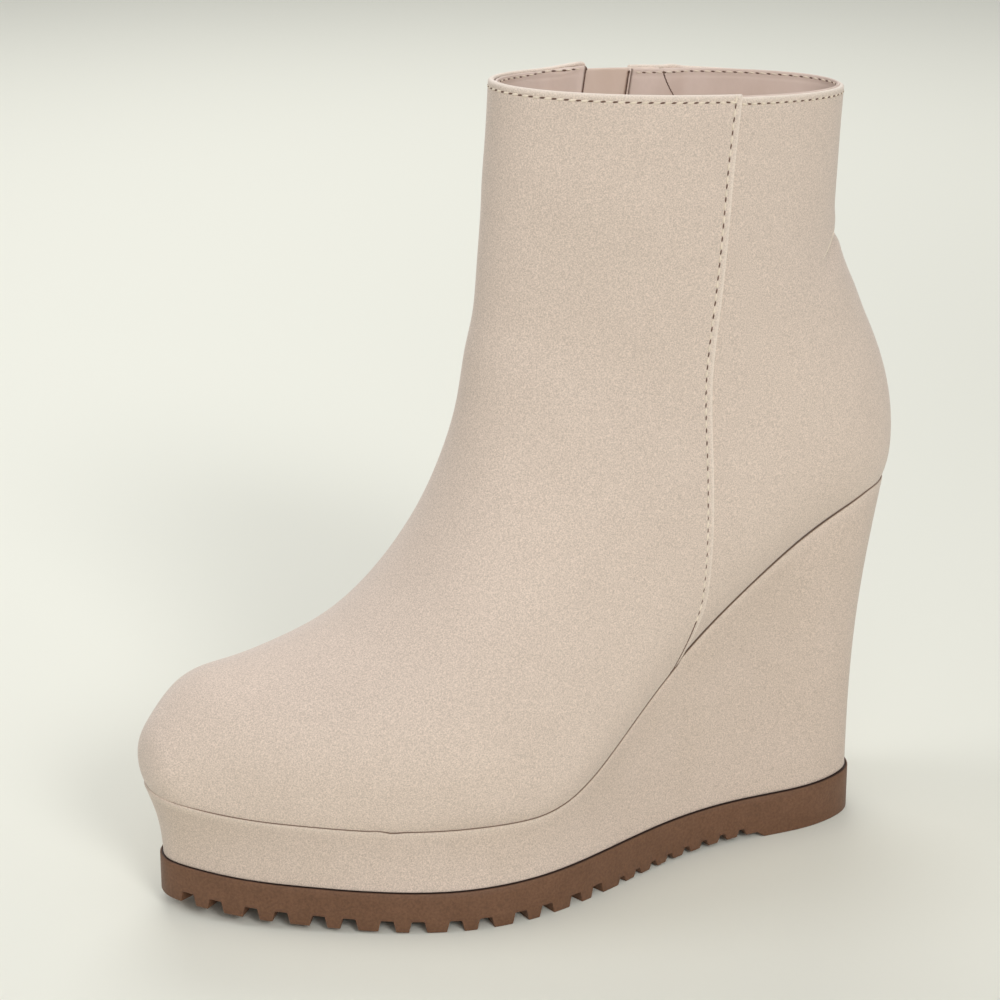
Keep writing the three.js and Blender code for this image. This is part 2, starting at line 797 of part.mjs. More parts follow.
// Materials
const colours = {
  nubuck: { color: 0xd3c2b0, roughness: 0.92, metalness: 0 },
  rubber: { color: 0x6b4b38, roughness: 0.7, metalness: 0 },
  footbed: { color: 0xcdbba6, roughness: 0.85, metalness: 0 },
  tape: { color: 0xc2ac97, roughness: 0.9, metalness: 0 },
  guard: { color: 0xb49b88, roughness: 0.75, metalness: 0 },
  nickel: { color: 0xb9b4aa, roughness: 0.3, metalness: 1 },
};

function namedMesh(name, solid, colour) {
  const mesh = new THREE.Mesh(geometryFromSolid(solid), new THREE.MeshStandardMaterial(colour));
  mesh.name = name;
  return mesh;
}

const boot = new THREE.Group();
boot.name = 'platform_wedge_boot';
boot.add(namedMesh('outsole', makeOutsole(), colours.rubber));
boot.add(namedMesh('platform_wedge', makePlatformWedge(), colours.nubuck));
boot.add(namedMesh('upper', makeUpper(), colours.nubuck));
boot.add(namedMesh('insole', makeInsole(), colours.footbed));
boot.add(namedMesh('zip', zip, colours.tape));
boot.add(namedMesh('zip_guard', makeZipGuard(), colours.guard));
boot.add(namedMesh('zip_slider', makeSlider(), colours.nickel));
boot.add(namedMesh('zip_pull', makePullTab(), colours.nickel));

// The origin is the middle of the boot's bottom
const box = new THREE.Box3().setFromObject(boot);
boot.position.set(-(box.min.x + box.max.x) / 2, -(box.min.y + box.max.y) / 2, -box.min.z);

export default boot;
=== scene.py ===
# Left platform wedge ankle boot: brushed leather panels over a lining, a covered platform
# wedge and a lugged rubber outsole. Shapes are worked out in millimetres, with x from the
# tip of the toe, and put into the frame at the end.
import math

import bmesh
import bpy
import numpy as np
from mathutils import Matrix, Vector


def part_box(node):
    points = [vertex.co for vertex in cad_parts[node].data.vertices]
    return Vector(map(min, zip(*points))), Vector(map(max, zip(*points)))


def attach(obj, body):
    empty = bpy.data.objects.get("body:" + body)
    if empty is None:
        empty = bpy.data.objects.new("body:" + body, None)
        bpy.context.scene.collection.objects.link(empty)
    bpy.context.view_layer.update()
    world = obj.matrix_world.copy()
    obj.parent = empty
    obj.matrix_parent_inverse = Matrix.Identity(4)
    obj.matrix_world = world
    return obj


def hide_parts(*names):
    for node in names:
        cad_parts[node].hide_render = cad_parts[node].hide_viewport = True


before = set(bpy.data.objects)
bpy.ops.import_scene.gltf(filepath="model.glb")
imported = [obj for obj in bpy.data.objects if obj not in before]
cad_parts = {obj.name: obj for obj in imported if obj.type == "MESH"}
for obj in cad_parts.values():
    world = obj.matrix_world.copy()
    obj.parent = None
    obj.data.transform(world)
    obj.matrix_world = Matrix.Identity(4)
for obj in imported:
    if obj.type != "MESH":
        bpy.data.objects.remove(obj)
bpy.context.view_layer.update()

# Sizes, millimetres
UPPER_LENGTH = 242.0
BALL_WIDTH = 90.0
COLLAR_HEIGHT = 232.3
COLLAR_DROP = 6.5
HEEL_HEIGHT = 104.5
PLATFORM_HEIGHT = 30.0
TOE_SPRING = 5.5
TOE_BUILD = 2.8
SEAT_TUCK = 9.0

FRONT_FACE = 0.0          # offsets from the skin, outwards positive
FRONT_BACK = -0.75
REAR_FACE = -0.8
REAR_BACK = -1.7
LINING_FACE = -2.8
LINING_BACK = -2.0
STITCH_INSET = 2.1        # stitches to the cut or turned edge beside them
COLLAR_RISE = 0.8         # turned edge over the last's own top
ZIP_FLARE = 3.1           # front panel opening away over the slider
ZIP_RISE = 1.5            # front panel standing up beside the slider

SOLE_SETBACK = 5.0
HEEL_SETBACK = 16.7
BALL_THICKNESS = 11.3
HEEL_THICKNESS = 14.0
WAIST_RISE = 1.8
WAIST_START = 0.555
HEEL_BLOCK = 41.0
HEEL_BLOCK_SLANT = 2.0
LUG_DEPTH = 3.3
TOE_BLOCK = 9.5
WIDE_LUG = 6.4
NARROW_LUG = 4.4
LUG_GAP = 4.4
LUG_REACH = 15.0
RIB_WIDTH = 4.2
RIB_GAP = 2.65
RIB_DEPTH = 2.1
RIB_REACH = 19.0

WEDGE_PROUD = 0.45
WEDGE_HOLLOW = 0.7
HEEL_HOLLOW = 2.0
WEDGE_ROLL = 0.7
WEDGE_TUCK = 1.0          # wedge cover in from the edge of the outsole

ZIP_SHIFT = 5.0
ZIP_LENGTH = 104.0
SLOT_HALF = 6.3
GUARD_HALF = 16.0
GUARD_OVERLAP = 7.0
GUARD_FACE = -3.1
GUARD_BACK = -4.3
TAPE_FACE = -1.1
TAPE_BACK = -2.05
TEETH_TOP = -0.4
COIL_PITCH = 1.25
WINDOW_HALF = 7.5
WINDOW_AHEAD = 4.1
LAP_FACE = GUARD_BACK - 0.9   # face of the lining where it runs over the strip behind the zip

PANEL_FOOT = 3.5          # panels end this far under the edge of the foot bed
PANEL_HIDDEN = 5.0        # and are open further below
UNDERLAP = 6.0            # rear panel on under the front one at the outer seam
SEAM_FOOT = 66.0          # height of the seams' lower ends
FLARE_START = 221.0       # height where the front panel starts to open away from the zip
SUNK = 0.17               # stitches down in their trough
ROW_FOOT = 45.0           # side rows are laid out from this height and cut off at the foot bed
FOLD_HEIGHT = 185.4       # soft fold over the heel, round the back
FOLD_FALL = 0.395         # half of its fall for each mm outwards on the outer side
FOLD_TURN = -17.0         # where it turns downwards
FAR = 99.0                # beyond the reach of any rounding

# The last, as short tables
# along_low, tuck, along_top, top, half, swing, widest, round_low, round_top
FOOT_SECTIONS = [
    (0.000, 0.00, 0.000, 0.072, 0.000, 0.130, 0.50, 2.0, 2.0),
    (0.006, -0.10, 0.004, 0.110, 0.090, 0.133, 0.50, 2.1, 2.0),
    (0.036, 0.80, 0.025, 0.148, 0.165, 0.146, 0.47, 2.4, 2.05),
    (0.076, 1.00, 0.064, 0.187, 0.245, 0.146, 0.43, 3.0, 2.1),
    (0.150, 1.00, 0.129, 0.206, 0.348, 0.117, 0.40, 3.3, 2.1),
    (0.240, 1.00, 0.195, 0.224, 0.432, 0.078, 0.38, 3.6, 2.1),
    (0.338, 1.00, 0.257, 0.260, 0.488, 0.037, 0.38, 3.6, 2.0),
    (0.437, 1.00, 0.314, 0.323, 0.496, 0.010, 0.38, 3.8, 2.0),
    (0.535, 1.00, 0.355, 0.398, 0.450, 0.000, 0.40, 3.2, 2.0),
    (0.650, 1.00, 0.384, 0.482, 0.402, 0.000, 0.42, 2.8, 2.0),
    (0.781, 1.00, 0.401, 0.562, 0.380, 0.000, 0.42, 2.6, 2.05),
    (0.896, 1.00, 0.410, 0.633, 0.370, 0.000, 0.42, 2.5, 2.1),
]
# along_low, rise, along_top, top, half, widest, round_low, round_top
SHAFT_SECTIONS = [
    (0.980, -0.030, 0.419, 0.682, 0.366, 0.43, 2.3, 2.1),
    (0.998, 0.130, 0.424, 0.732, 0.366, 0.44, 2.2, 2.1),
    (0.984, 0.285, 0.428, 0.778, 0.366, 0.45, 2.1, 2.1),
    (0.944, 0.455, 0.432, 0.825, 0.364, 0.46, 2.1, 2.1),
    (0.903, 0.620, 0.435, 0.873, 0.362, 0.47, 2.1, 2.1),
    (0.900, 0.740, 0.438, 0.915, 0.358, 0.48, 2.1, 2.1),
    (0.910, 1.000, 0.442, 1.000, 0.345, 0.50, 2.1, 2.1),
]
TOE_LIFT = [(0, 1), (.03, .8), (.1, .45), (.15, .3), (.205, .15), (.26, .04), (.31, 0), (1.1, 0)]
SEAT_CLIMB = [(0, 0), (.31, 0), (.40, .003), (.445, .024), (.49, .080), (.54, .178),
              (.605, .340), (.67, .520), (.73, .655), (.785, .760), (.84, .858),
              (.89, .940), (.935, .988), (1.02, 1), (1.1, 1)]
# along, outer, inner
SOLE_OUTLINE = [(0.000, -0.144, 0.144), (0.022, -0.033, 0.272), (0.058, 0.067, 0.350),
                (0.140, 0.228, 0.444), (0.230, 0.367, 0.500), (0.330, 0.467, 0.517),
                (0.440, 0.480, 0.494), (0.545, 0.417, 0.422), (0.660, 0.339, 0.350),
                (0.770, 0.314, 0.328), (0.870, 0.330, 0.330), (0.940, 0.300, 0.300),
                (0.980, 0.225, 0.225), (1.000, 0.000, 0.000)]
# height share, along
SIDE_SEAM = [(0, .588), (.16, .626), (.27, .650), (.40, .652), (.57, .651), (.72, .661),
             (.87, .672), (1.02, .689)]


def spline_through(knots, values, level_start=False):
    """Smooth curve through values at rising knots, level at the start where asked."""
    count = len(knots)
    step = np.diff(knots)
    system = np.zeros((count, count))
    right = np.zeros(count)
    for i in range(1, count - 1):
        system[i, i - 1:i + 2] = step[i - 1], 2 * (step[i - 1] + step[i]), step[i]
        right[i] = 6 * ((values[i + 1] - values[i]) / step[i] - (values[i] - values[i - 1]) / step[i - 1])
    system[0, 0] = 1
    if level_start:
        system[0, :2] = 2 * step[0], step[0]
        right[0] = 6 * (values[1] - values[0]) / step[0]
    system[-1, -1] = 1
    bend = np.linalg.solve(system, right)

    def at(t):
        t = np.asarray(t, float)
        i = np.clip(np.searchsorted(knots, t, side="right") - 1, 0, count - 2)
        span = knots[i + 1] - knots[i]
        after, before = (knots[i + 1] - t) / span, (t - knots[i]) / span
        curve = (after ** 3 - after) * bend[i] + (before ** 3 - before) * bend[i + 1]
        return after * values[i] + before * values[i + 1] + curve * span ** 2 / 6
    return at


def ease_through(rows):
    """Curve through (place, value) rows that never overshoots them."""
    x, v = np.array(rows, float).T
    step = np.diff(x)
    slope = np.diff(v) / step
    lean = np.concatenate([[slope[0]], np.zeros(len(x) - 2), [slope[-1]]])
    both = slope[:-1] * slope[1:] > 0
    lean[1:-1][both] = (2 * slope[:-1] * slope[1:] / np.where(both, slope[:-1] + slope[1:], 1))[both]

    def at(place):
        u = np.clip(place, x[0], x[-1])
        i = np.clip(np.searchsorted(x, u, side="right") - 1, 0, len(x) - 2)
        q = (u - x[i]) / step[i]
        start = (2 * q ** 3 - 3 * q ** 2 + 1) * v[i] + (3 * q ** 2 - 2 * q ** 3) * v[i + 1]
        turn = (q ** 3 - 2 * q ** 2 + q) * lean[i] + (q ** 3 - q ** 2) * lean[i + 1]
        return start + turn * step[i]
    return at


lift_share = ease_through(TOE_LIFT)
climb_share = ease_through(SEAT_CLIMB)
seam_share = ease_through(SIDE_SEAM)
SOLE_REAR = UPPER_LENGTH - HEEL_SETBACK
SOLE_LENGTH = SOLE_REAR - SOLE_SETBACK
BLOCK_FRONT = SOLE_REAR - HEEL_BLOCK
ARCH_START = SOLE_SETBACK + SOLE_LENGTH * WAIST_START
SLOT_BOTTOM = COLLAR_HEIGHT - COLLAR_DROP / 2 - ZIP_LENGTH
GUARD_BOTTOM = SLOT_BOTTOM - GUARD_OVERLAP


def ground_lift(x):
    return TOE_SPRING * lift_share(x / UPPER_LENGTH)


def seat_height(x):
    climb = (HEEL_HEIGHT - PLATFORM_HEIGHT) * climb_share(x / UPPER_LENGTH)
    return PLATFORM_HEIGHT + climb + (TOE_SPRING + TOE_BUILD) * lift_share(x / UPPER_LENGTH)


def sole_top(x):
    share = np.clip((x - SOLE_SETBACK) / SOLE_LENGTH, 0, 1)
    return ground_lift(x) + BALL_THICKNESS + (HEEL_THICKNESS - BALL_THICKNESS) * share


def seam_x(z):
    return UPPER_LENGTH * seam_share((z - PLATFORM_HEIGHT) / (COLLAR_HEIGHT - PLATFORM_HEIGHT))


def zip_x(z):
    return seam_x(z) - ZIP_SHIFT


def all_sections():
    tall = COLLAR_HEIGHT - PLATFORM_HEIGHT
    rows = []
    for low, tuck, top_along, top, half, swing, widest, round_low, round_top in FOOT_SECTIONS:
        under = seat_height(low * UPPER_LENGTH) - tuck * SEAT_TUCK
        low_z = PLATFORM_HEIGHT + tall * top if half == 0 else under
        rows.append((low * UPPER_LENGTH, low_z, top_along * UPPER_LENGTH, PLATFORM_HEIGHT + tall * top,
                     half * BALL_WIDTH, swing * BALL_WIDTH, widest, round_low, round_top))
    climb = COLLAR_HEIGHT - COLLAR_DROP - HEEL_HEIGHT
    for low, rise, top_along, top, half, widest, round_low, round_top in SHAFT_SECTIONS:
        rows.append((low * UPPER_LENGTH, HEEL_HEIGHT + rise * climb, top_along * UPPER_LENGTH,
                     PLATFORM_HEIGHT + tall * top, half * BALL_WIDTH, 0, widest, round_low, round_top))
    return np.array(rows, float)


SECTIONS = all_sections()
low_path = np.linalg.norm(np.diff(SECTIONS[:, 0:2], axis=0), axis=1)
top_path = np.linalg.norm(np.diff(SECTIONS[:, 2:4], axis=0), axis=1)
PLACES = np.concatenate([[0], np.cumsum((low_path + top_path) / 2)])
PLACES = PLACES / PLACES[-1]
LEVEL_AT_TOE = [True, False, True, False, False, False, True, True, True]
CURVES = [spline_through(PLACES, SECTIONS[:, i], LEVEL_AT_TOE[i]) for i in range(9)]


def skin(t, angle):
    """t from toe 0 to collar 1; angle 0 at sole or heel, pi on the instep, positive on the outer side."""
    t, angle = np.broadcast_arrays(np.asarray(t, float), np.asarray(angle, float))
    angle = np.where(angle > math.pi, angle - 2 * math.pi, angle)
    low_x, low_z, top_x, top_z, half, swing, widest, round_low, round_top = [c(t) for c in CURVES]
    turn = np.abs(angle) - math.pi / 2
    fullness = np.where(turn < 0, round_low, round_top)
    out = np.clip(np.cos(turn), 0, 1) ** (2 / fullness)
    rise = np.abs(np.sin(turn)) ** (2 / fullness)
    share = np.where(turn < 0, widest * (1 - rise), widest + (1 - widest) * rise)
    side = np.where(angle >= 0, -1.0, 1.0)
    return np.stack([low_x + share * (top_x - low_x), swing + side * half * out,
                     low_z + share * (top_z - low_z)], -1)


def bump_at(distance, width):
    return np.exp(-(distance / width) ** 2)


def smooth(value):
    q = np.clip(value, 0, 1)
    return q * q * (3 - 2 * q)


def fold_height(y):
    """The fold over the heel is level round the back and runs down on the outer side."""
    past = y - FOLD_TURN
    return FOLD_HEIGHT + FOLD_FALL * (past - np.hypot(past, 5))


def soft_folds(p):
    """Troughs and ridges of worn leather, in millimetres out of the skin."""
    x, y, z = p[..., 0], p[..., 1], p[..., 2]
    # the shaft sags over the heel: a fold from the back round to the outer side, running down
    back = smooth((x - 195) / 12)
    fold = (z - fold_height(y)) / 1.2
    near_fold = back * smooth((y + 28) / 7) * (1 - smooth((y - 2) / 9))
    ankle = near_fold * (0.3 * bump_at(fold - 2.2, 2.2) - 1.3 * bump_at(fold + 0.9, 1.15))
    ankle = ankle + back * 0.9 * smooth(-(fold + 1) / 4) * smooth((z - 156) / 14)
    outer = np.clip(-y / 25, 0, 1)
    sway = 0.35 * np.sin(z / 19 + x / 31) * np.sin(x / 23 - z / 47)
    vamp = np.clip((105 - x) / 30, 0, 1) * np.clip((z - 62) / 12, 0, 1)
    slack = -0.30 * outer * vamp * bump_at(z - 74 - 0.55 * (x - 62), 3.2)
    return ankle + 0.6 * sway * np.clip((z - 60) / 40, 0, 1) * np.clip((225 - z) / 25, 0, 1) + slack


def skin_at(t, angle, offset):
    """Point of the skin moved out by offset along its normal, soft folds included."""
    probe = 2e-3
    t, angle, offset = np.broadcast_arrays(t, angle, offset)
    base = skin(t, angle)
    start = np.maximum(t, 2 * probe)
    along = skin(start + probe, angle) - skin(start - probe, angle)
    around = skin(start, angle + probe) - skin(start, angle - probe)
    normal = np.cross(along, around)
    normal = normal / np.maximum(np.linalg.norm(normal, axis=-1, keepdims=True), 1e-9)
    normal = np.where((t < 1e-6)[..., None], np.array([-1.0, 0, 0]), normal)
    return base + normal * (offset + soft_folds(base))[..., None]


def halve(low, high, held, rounds):
    """Closes in on the place between low and high up to which held is true."""
    for _ in range(rounds):
        middle = (low + high) / 2
        kept = held(middle)
        low, high = np.where(kept, middle, low), np.where(kept, high, middle)
    return low


def angle_where(t, side, inside):
    """Angle up to which points of section t lie inside, going up from sole or heel."""
    return halve(np.zeros_like(t), np.full_like(t, math.pi), lambda a: inside(skin(t, side * a)), 36)


def bed_angle(t, side, depth):
    return angle_where(t, side, lambda p: p[..., 2] < seat_height(p[..., 0]) - depth)


def on_side(x, z, side):
    """(t, angle) of the skin point seen at x, z from that side."""
    x, z = np.broadcast_arrays(np.asarray(x, float), np.asarray(z, float))
    t = np.clip(0.55 + 0.45 * (z - 100) / 130, 0.3, 1.0)
    angle = np.full_like(t, math.pi / 2)
    h = 1e-4
    for _ in range(30):
        p = skin(t, side * angle)
        pt = (skin(t + h, side * angle) - p) / h
        pa = (skin(t, side * (angle + h)) - p) / h
        dx, dz = x - p[..., 0], z - p[..., 2]
        det = pt[..., 0] * pa[..., 2] - pt[..., 2] * pa[..., 0]
        det = np.where(np.abs(det) < 1e-6, 1e-6, det)
        t = np.clip(t + np.clip((dx * pa[..., 2] - dz * pa[..., 0]) / det, -.05, .05), 0.02, 1.03)
        angle = np.clip(angle + np.clip((pt[..., 0] * dz - pt[..., 2] * dx) / det, -.3, .3), 0.02, 3.1)
    return t, side * angle


# Placing pieces in the frame
STATIONS = 36
knots = np.array([math.acos(1 - 2 * row[0]) / math.pi for row in SOLE_OUTLINE])
outer_edge = spline_through(knots, np.array([row[1] for row in SOLE_OUTLINE]))
inner_edge = spline_through(knots, np.array([row[2] for row in SOLE_OUTLINE]))
outer_low = float(np.min(-BALL_WIDTH * outer_edge(np.linspace(0, 1, STATIONS + 1))))
SHIFT = np.array([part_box("outsole")[0][0] * 1000 - SOLE_SETBACK,
                  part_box("outsole")[0][1] * 1000 - outer_low, 0.0])


def metres(points):
    return (np.asarray(points, float) + SHIFT) / 1000


def in_scene(name, data):
    piece = bpy.data.objects.new(name, data)
    bpy.context.scene.collection.objects.link(piece)
    return piece


def mesh_object(name, points, faces, weld=None, marks=None):
    """A smooth shaded mesh; marks are named numbers per point, read by the materials."""
    mesh = bpy.data.meshes.new(name)
    mesh.from_pydata(metres(points).tolist(), [], [tuple(int(i) for i in f) for f in faces])
    for label, values in (marks or {}).items():
        layer = mesh.attributes.new(label, "FLOAT", "POINT")
        layer.data.foreach_set("value", np.asarray(values, np.float32).ravel())
    if weld:
        work = bmesh.new()
        work.from_mesh(mesh)
        bmesh.ops.remove_doubles(work, verts=work.verts, dist=weld)
        bmesh.ops.dissolve_degenerate(work, edges=work.edges, dist=1e-8)
        work.to_mesh(mesh)
        work.free()
    mesh.validate()
    mesh.shade_smooth()
    return in_scene(name, mesh)


def grid_faces(index, outwards=True):
    a, b, c, d = index[:-1, :-1], index[1:, :-1], index[1:, 1:], index[:-1, 1:]
    quads = np.stack([a, b, c, d] if outwards else [a, d, c, b], -1)
    return quads.reshape(-1, 4)


def place(piece, body, slot, nodes=(), material=None):
    if material is not None:
        piece.data.materials.clear()
        piece.data.materials.append(material)
    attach(piece, body)
    if nodes:
        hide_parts(*nodes)
    return piece


# Materials
def colour(hex_value):
    """sRGB hex to linear RGBA."""
    parts = [int(hex_value[i:i + 2], 16) / 255 for i in (1, 3, 5)]
    return tuple(p / 12.92 if p <= 0.04045 else ((p + 0.055) / 1.055) ** 2.4 for p in parts) + (1.0,)


def add(tree, kind, inputs=None, out=0, **settings):
    """One node with its settings and links. inputs maps a socket's name or number to a value, a
    socket or a list of sockets; the output that out names is returned."""
    node = tree.nodes.new(kind)
    for key, value in settings.items():
        setattr(node, key, value)
    for key, value in (inputs or {}).items():
        if isinstance(value, bpy.types.NodeSocket):
            tree.links.new(value, node.inputs[key])
        elif isinstance(value, list):
            for socket in value:
                tree.links.new(socket, node.inputs[key])
        else:
            node.inputs[key].default_value = value
    return node.outputs[out] if len(node.outputs) else None


def new_material(name, roughness, **sockets):
    """A material with its tree, its shader's inputs and the coordinates of its piece."""
    material = bpy.data.materials.new(name)
    material.use_nodes = True
    tree = material.node_tree
    surface = tree.nodes["Principled BSDF"].inputs
    surface["Roughness"].default_value = roughness
    for key, value in sockets.items():
        surface[key.replace("_", " ")].default_value = value
    return material, tree, surface, add(tree, "ShaderNodeTexCoord", out="Object")


def painted(tree, surface, base, layers):
    """Lays (share, tone, way of mixing) layers over the base tone and gives them to the surface."""
    tone = colour(base)
    for share, over, way in layers:
        tone = add(tree, "ShaderNodeMix", {0: share, 6: tone, 7: over}, 2,
                   data_type="RGBA", blend_type=way)
    tree.links.new(tone, surface["Base Color"])


def brushed_leather(name, base, worn, shade, edge_wear_and_highlight_tone, ink):
    """Synthetic nubuck: polyurethane face sanded to a short nap, so it is matt, with a soft
    rim sheen, faint cloudy tone where the nap lies differently, and a fine speckle. Turned
    edges are made paler over about 1 mm, partly rubbed nap and partly a painted highlight, and a
    marked crevice gets painted shade."""
    material, tree, surface, place_on = new_material(
        name, 0.88, Sheen_Weight=0.22, Sheen_Roughness=0.45, Specular_IOR_Level=0.28)
    clouds = add(tree, "ShaderNodeTexNoise", {"Vector": place_on, "Scale": 46.0, "Detail": 3.0})
    drift = add(tree, "ShaderNodeTexNoise", {"Vector": place_on, "Scale": 13.0, "Detail": 2.0})
    # the real nap is about 0.1 mm; it is drawn at about 0.4 mm so that it shows
    nap = add(tree, "ShaderNodeTexNoise",
              {"Vector": place_on, "Scale": 2500.0, "Detail": 2.0, "Roughness": 0.7})
    cloudy = add(tree, "ShaderNodeMapRange", {0: clouds, 1: 0.34, 2: 0.68})
    drifting = add(tree, "ShaderNodeMapRange", {0: drift, 1: 0.35, 2: 0.7, 4: 0.45})
    speckled = add(tree, "ShaderNodeMapRange", {0: nap, 1: 0.33, 2: 0.67})
    speck = add(tree, "ShaderNodeMix",
                {0: speckled, 6: (0.77, 0.765, 0.76, 1), 7: (1.18, 1.18, 1.19, 1)}, 2, data_type="RGBA")
    # paler edges: rubbed nap and a painted highlight, where the pieces mark them
    at_edge = add(tree, "ShaderNodeAttribute", out="Fac", attribute_name="worn_edge")
    wear_and_highlight = add(tree, "ShaderNodeMath", {0: at_edge, 1: 0.75}, operation="MULTIPLY")
    # painted shade in the crevice that the pieces mark
    crevice = add(tree, "ShaderNodeAttribute", out="Fac", attribute_name="edge_ink")
    painted(tree, surface, base, [(cloudy, colour(worn), "MIX"), (drifting, colour(shade), "MIX"),
                                  (1.0, speck, "MULTIPLY"), (wear_and_highlight, colour(edge_wear_and_highlight_tone), "MIX"),
                                  (crevice, colour(ink), "MIX")])
    pores = add(tree, "ShaderNodeTexNoise",
                {"Vector": place_on, "Scale": 900.0, "Detail": 4.0, "Roughness": 0.65})
    fine = add(tree, "ShaderNodeBump", {"Strength": 0.35, "Distance": 0.00012, "Height": pores})
    soft = add(tree, "ShaderNodeBump",
               {"Strength": 0.25, "Distance": 0.0012, "Height": clouds, "Normal": fine})
    tree.links.new(soft, surface["Normal"])
    return material


def moulded_rubber(name, base, scuffed, ink):
    """Brown thermoplastic rubber from a blasted mould: satin, with a paler mottle and a faint
    mould grain. The top ledge under the wedge is darkened with painted shade."""
    material, tree, surface, place_on = new_material(name, 0.58, Specular_IOR_Level=0.42)
    mottle = add(tree, "ShaderNodeTexNoise", {"Vector": place_on, "Scale": 160.0, "Detail": 4.0})
    # the mould's grit is about 0.2 mm; it is drawn at about 0.8 mm so that it shows
    grain = add(tree, "ShaderNodeTexNoise",
                {"Vector": place_on, "Scale": 1300.0, "Detail": 2.0, "Roughness": 0.6})
    mottled = add(tree, "ShaderNodeMapRange", {0: mottle, 1: 0.35, 2: 0.7, 4: 0.4})
    grainy = add(tree, "ShaderNodeMapRange", {0: grain, 1: 0.35, 2: 0.65})
    speck = add(tree, "ShaderNodeMix",
                {0: grainy, 6: (0.84, 0.84, 0.84, 1), 7: (1.14, 1.13, 1.12, 1)}, 2, data_type="RGBA")
    # painted shade on the ledge that the outsole marks
    ledge = add(tree, "ShaderNodeAttribute", out="Fac", attribute_name="edge_ink")
    painted(tree, surface, base, [(mottled, colour(scuffed), "MIX"), (1.0, speck, "MULTIPLY"),
                                  (ledge, colour(ink), "MIX")])
    relief = add(tree, "ShaderNodeBump", {"Strength": 0.3, "Distance": 0.00015, "Height": grain})
    tree.links.new(relief, surface["Normal"])
    return material


def smooth_lining(name, base, worn, ink):
    """Coated lining leather with a pigskin look: a little glossier than the outside, fine pores, and
    painted shade where the piece marks it.
    """
    material, tree, surface, place_on = new_material(name, 0.62, Specular_IOR_Level=0.4)
    clouds = add(tree, "ShaderNodeTexNoise", {"Vector": place_on, "Scale": 90.0, "Detail": 4.0})
    pores = add(tree, "ShaderNodeTexVoronoi", {"Vector": place_on, "Scale": 700.0})
    cloudy = add(tree, "ShaderNodeMapRange", {0: clouds, 1: 0.3, 2: 0.7})
    painted_lining_shade = add(tree, "ShaderNodeAttribute", out="Fac", attribute_name="edge_ink")
    painted(tree, surface, base, [(cloudy, colour(worn), "MIX"), (painted_lining_shade, colour(ink), "MIX")])
    relief = add(tree, "ShaderNodeBump", {"Strength": 0.25, "Distance": 0.0001, "Height": pores})
    tree.links.new(relief, surface["Normal"])
    return material


def woven_tape(name, base, dark):
    """Polyester zip tape in a fine twill; ribs every 0.7 mm, drawn from crossed waves."""
    material, tree, surface, place_on = new_material(name, 0.85, Specular_IOR_Level=0.25)
    wave = {"Vector": place_on, "Scale": 450.0, "Distortion": 0.4}
    warp, weft = [add(tree, "ShaderNodeTexWave", wave, 1, bands_direction=way) for way in ("Z", "X")]
    weave = add(tree, "ShaderNodeMath", {0: warp, 1: weft}, operation="MULTIPLY")
    painted(tree, surface, dark, [(weave, colour(base), "MIX")])
    relief = add(tree, "ShaderNodeBump", {"Strength": 0.4, "Distance": 0.0002, "Height": weave})
    tree.links.new(relief, surface["Normal"])
    return material


def plain_finish(name, base, roughness, **sockets):
    """Thread, coil or metal: one tone with a faint unevenness."""
    material, tree, surface, place_on = new_material(name, roughness, **sockets)
    cast = add(tree, "ShaderNodeTexNoise", {"Vector": place_on, "Scale": 600.0, "Detail": 2.0})
    uneven = add(tree, "ShaderNodeMapRange", {0: cast, 1: 0.3, 2: 0.7})
    tint = add(tree, "ShaderNodeMix", {0: uneven, 6: (0.9, 0.9, 0.9, 1), 7: (1.06, 1.06, 1.06, 1)}, 2,
               data_type="RGBA")
    painted(tree, surface, base, [(1.0, tint, "MULTIPLY")])
    return material


# painted shade: in the crevice over the wedge, and along the lining's cut edges, in the gap under them
# and in the crease
LEATHER_CREVICE_SHADE = "#705C4D"
LINING_EDGE_SHADE = "#644B3E"
NUBUCK = brushed_leather("brushed leather", "#D7C6B7", "#D4C3B4", "#CDBDAF", "#F6EADC", LEATHER_CREVICE_SHADE)
COVER = brushed_leather("brushed wedge cover", "#CFBEAF", "#CCBBAB", "#C7B6A7", "#EADCCC", LEATHER_CREVICE_SHADE)
# the last tone of the rubber is painted shade on the top ledge under the wedge
RUBBER = moulded_rubber("brown sole rubber", "#694933", "#78563F", "#46332A")
LINING = smooth_lining("smooth pink beige lining", "#DECBBF", "#D5C1B4", LINING_EDGE_SHADE)
GUARD = smooth_lining("zip guard leather", "#E3CFC0", "#DAC4B4", LINING_EDGE_SHADE)
SOCK = smooth_lining("insole cover", "#CDBBA8", "#C4B09C", LINING_EDGE_SHADE)
TAPE = woven_tape("woven zip tape", "#C9B6A2", "#A89480")
# spun polyester thread, a shade paler than the leather, with a soft shine
THREAD = plain_finish("pale topstitch thread", "#E6D8C4", 0.6, Sheen_Weight=0.1)
# the shadowed leather inside a needle's hole
HOLE = plain_finish("needle hole", "#6B5244", 0.9)
# nylon coil, moulded and dyed to match the tape
COIL = plain_finish("nylon zip coil", "#CDBBA6", 0.45)
# zinc casting with satin nickel plating: neutral grey, blurred reflections
NICKEL = plain_finish("satin nickel", "#BDB8AE", 0.28, Metallic=1.0)


# Leather panels
EDGE_STEPS = np.array([0, .05, .16, .34, .6, 1.1, 1.7, 2.1, 2.45, 2.8, 3.2, 3.9, 5.0])


def rounded(distance, radius):
    """How much a face drops at a distance from an edge that is rounded over."""
    s = np.clip(distance, 0, radius)
    return radius - np.sqrt(np.maximum(radius ** 2 - (radius - s) ** 2, 0))


def mm_per_turn(t, angle):
    return np.linalg.norm(skin(t, angle + 5e-3) - skin(t, angle - 5e-3), axis=-1) / 1e-2


def mm_per_t(t, angle):
    return np.linalg.norm(skin(t, angle) - skin(t - 4e-3, angle), axis=-1) / 4e-3


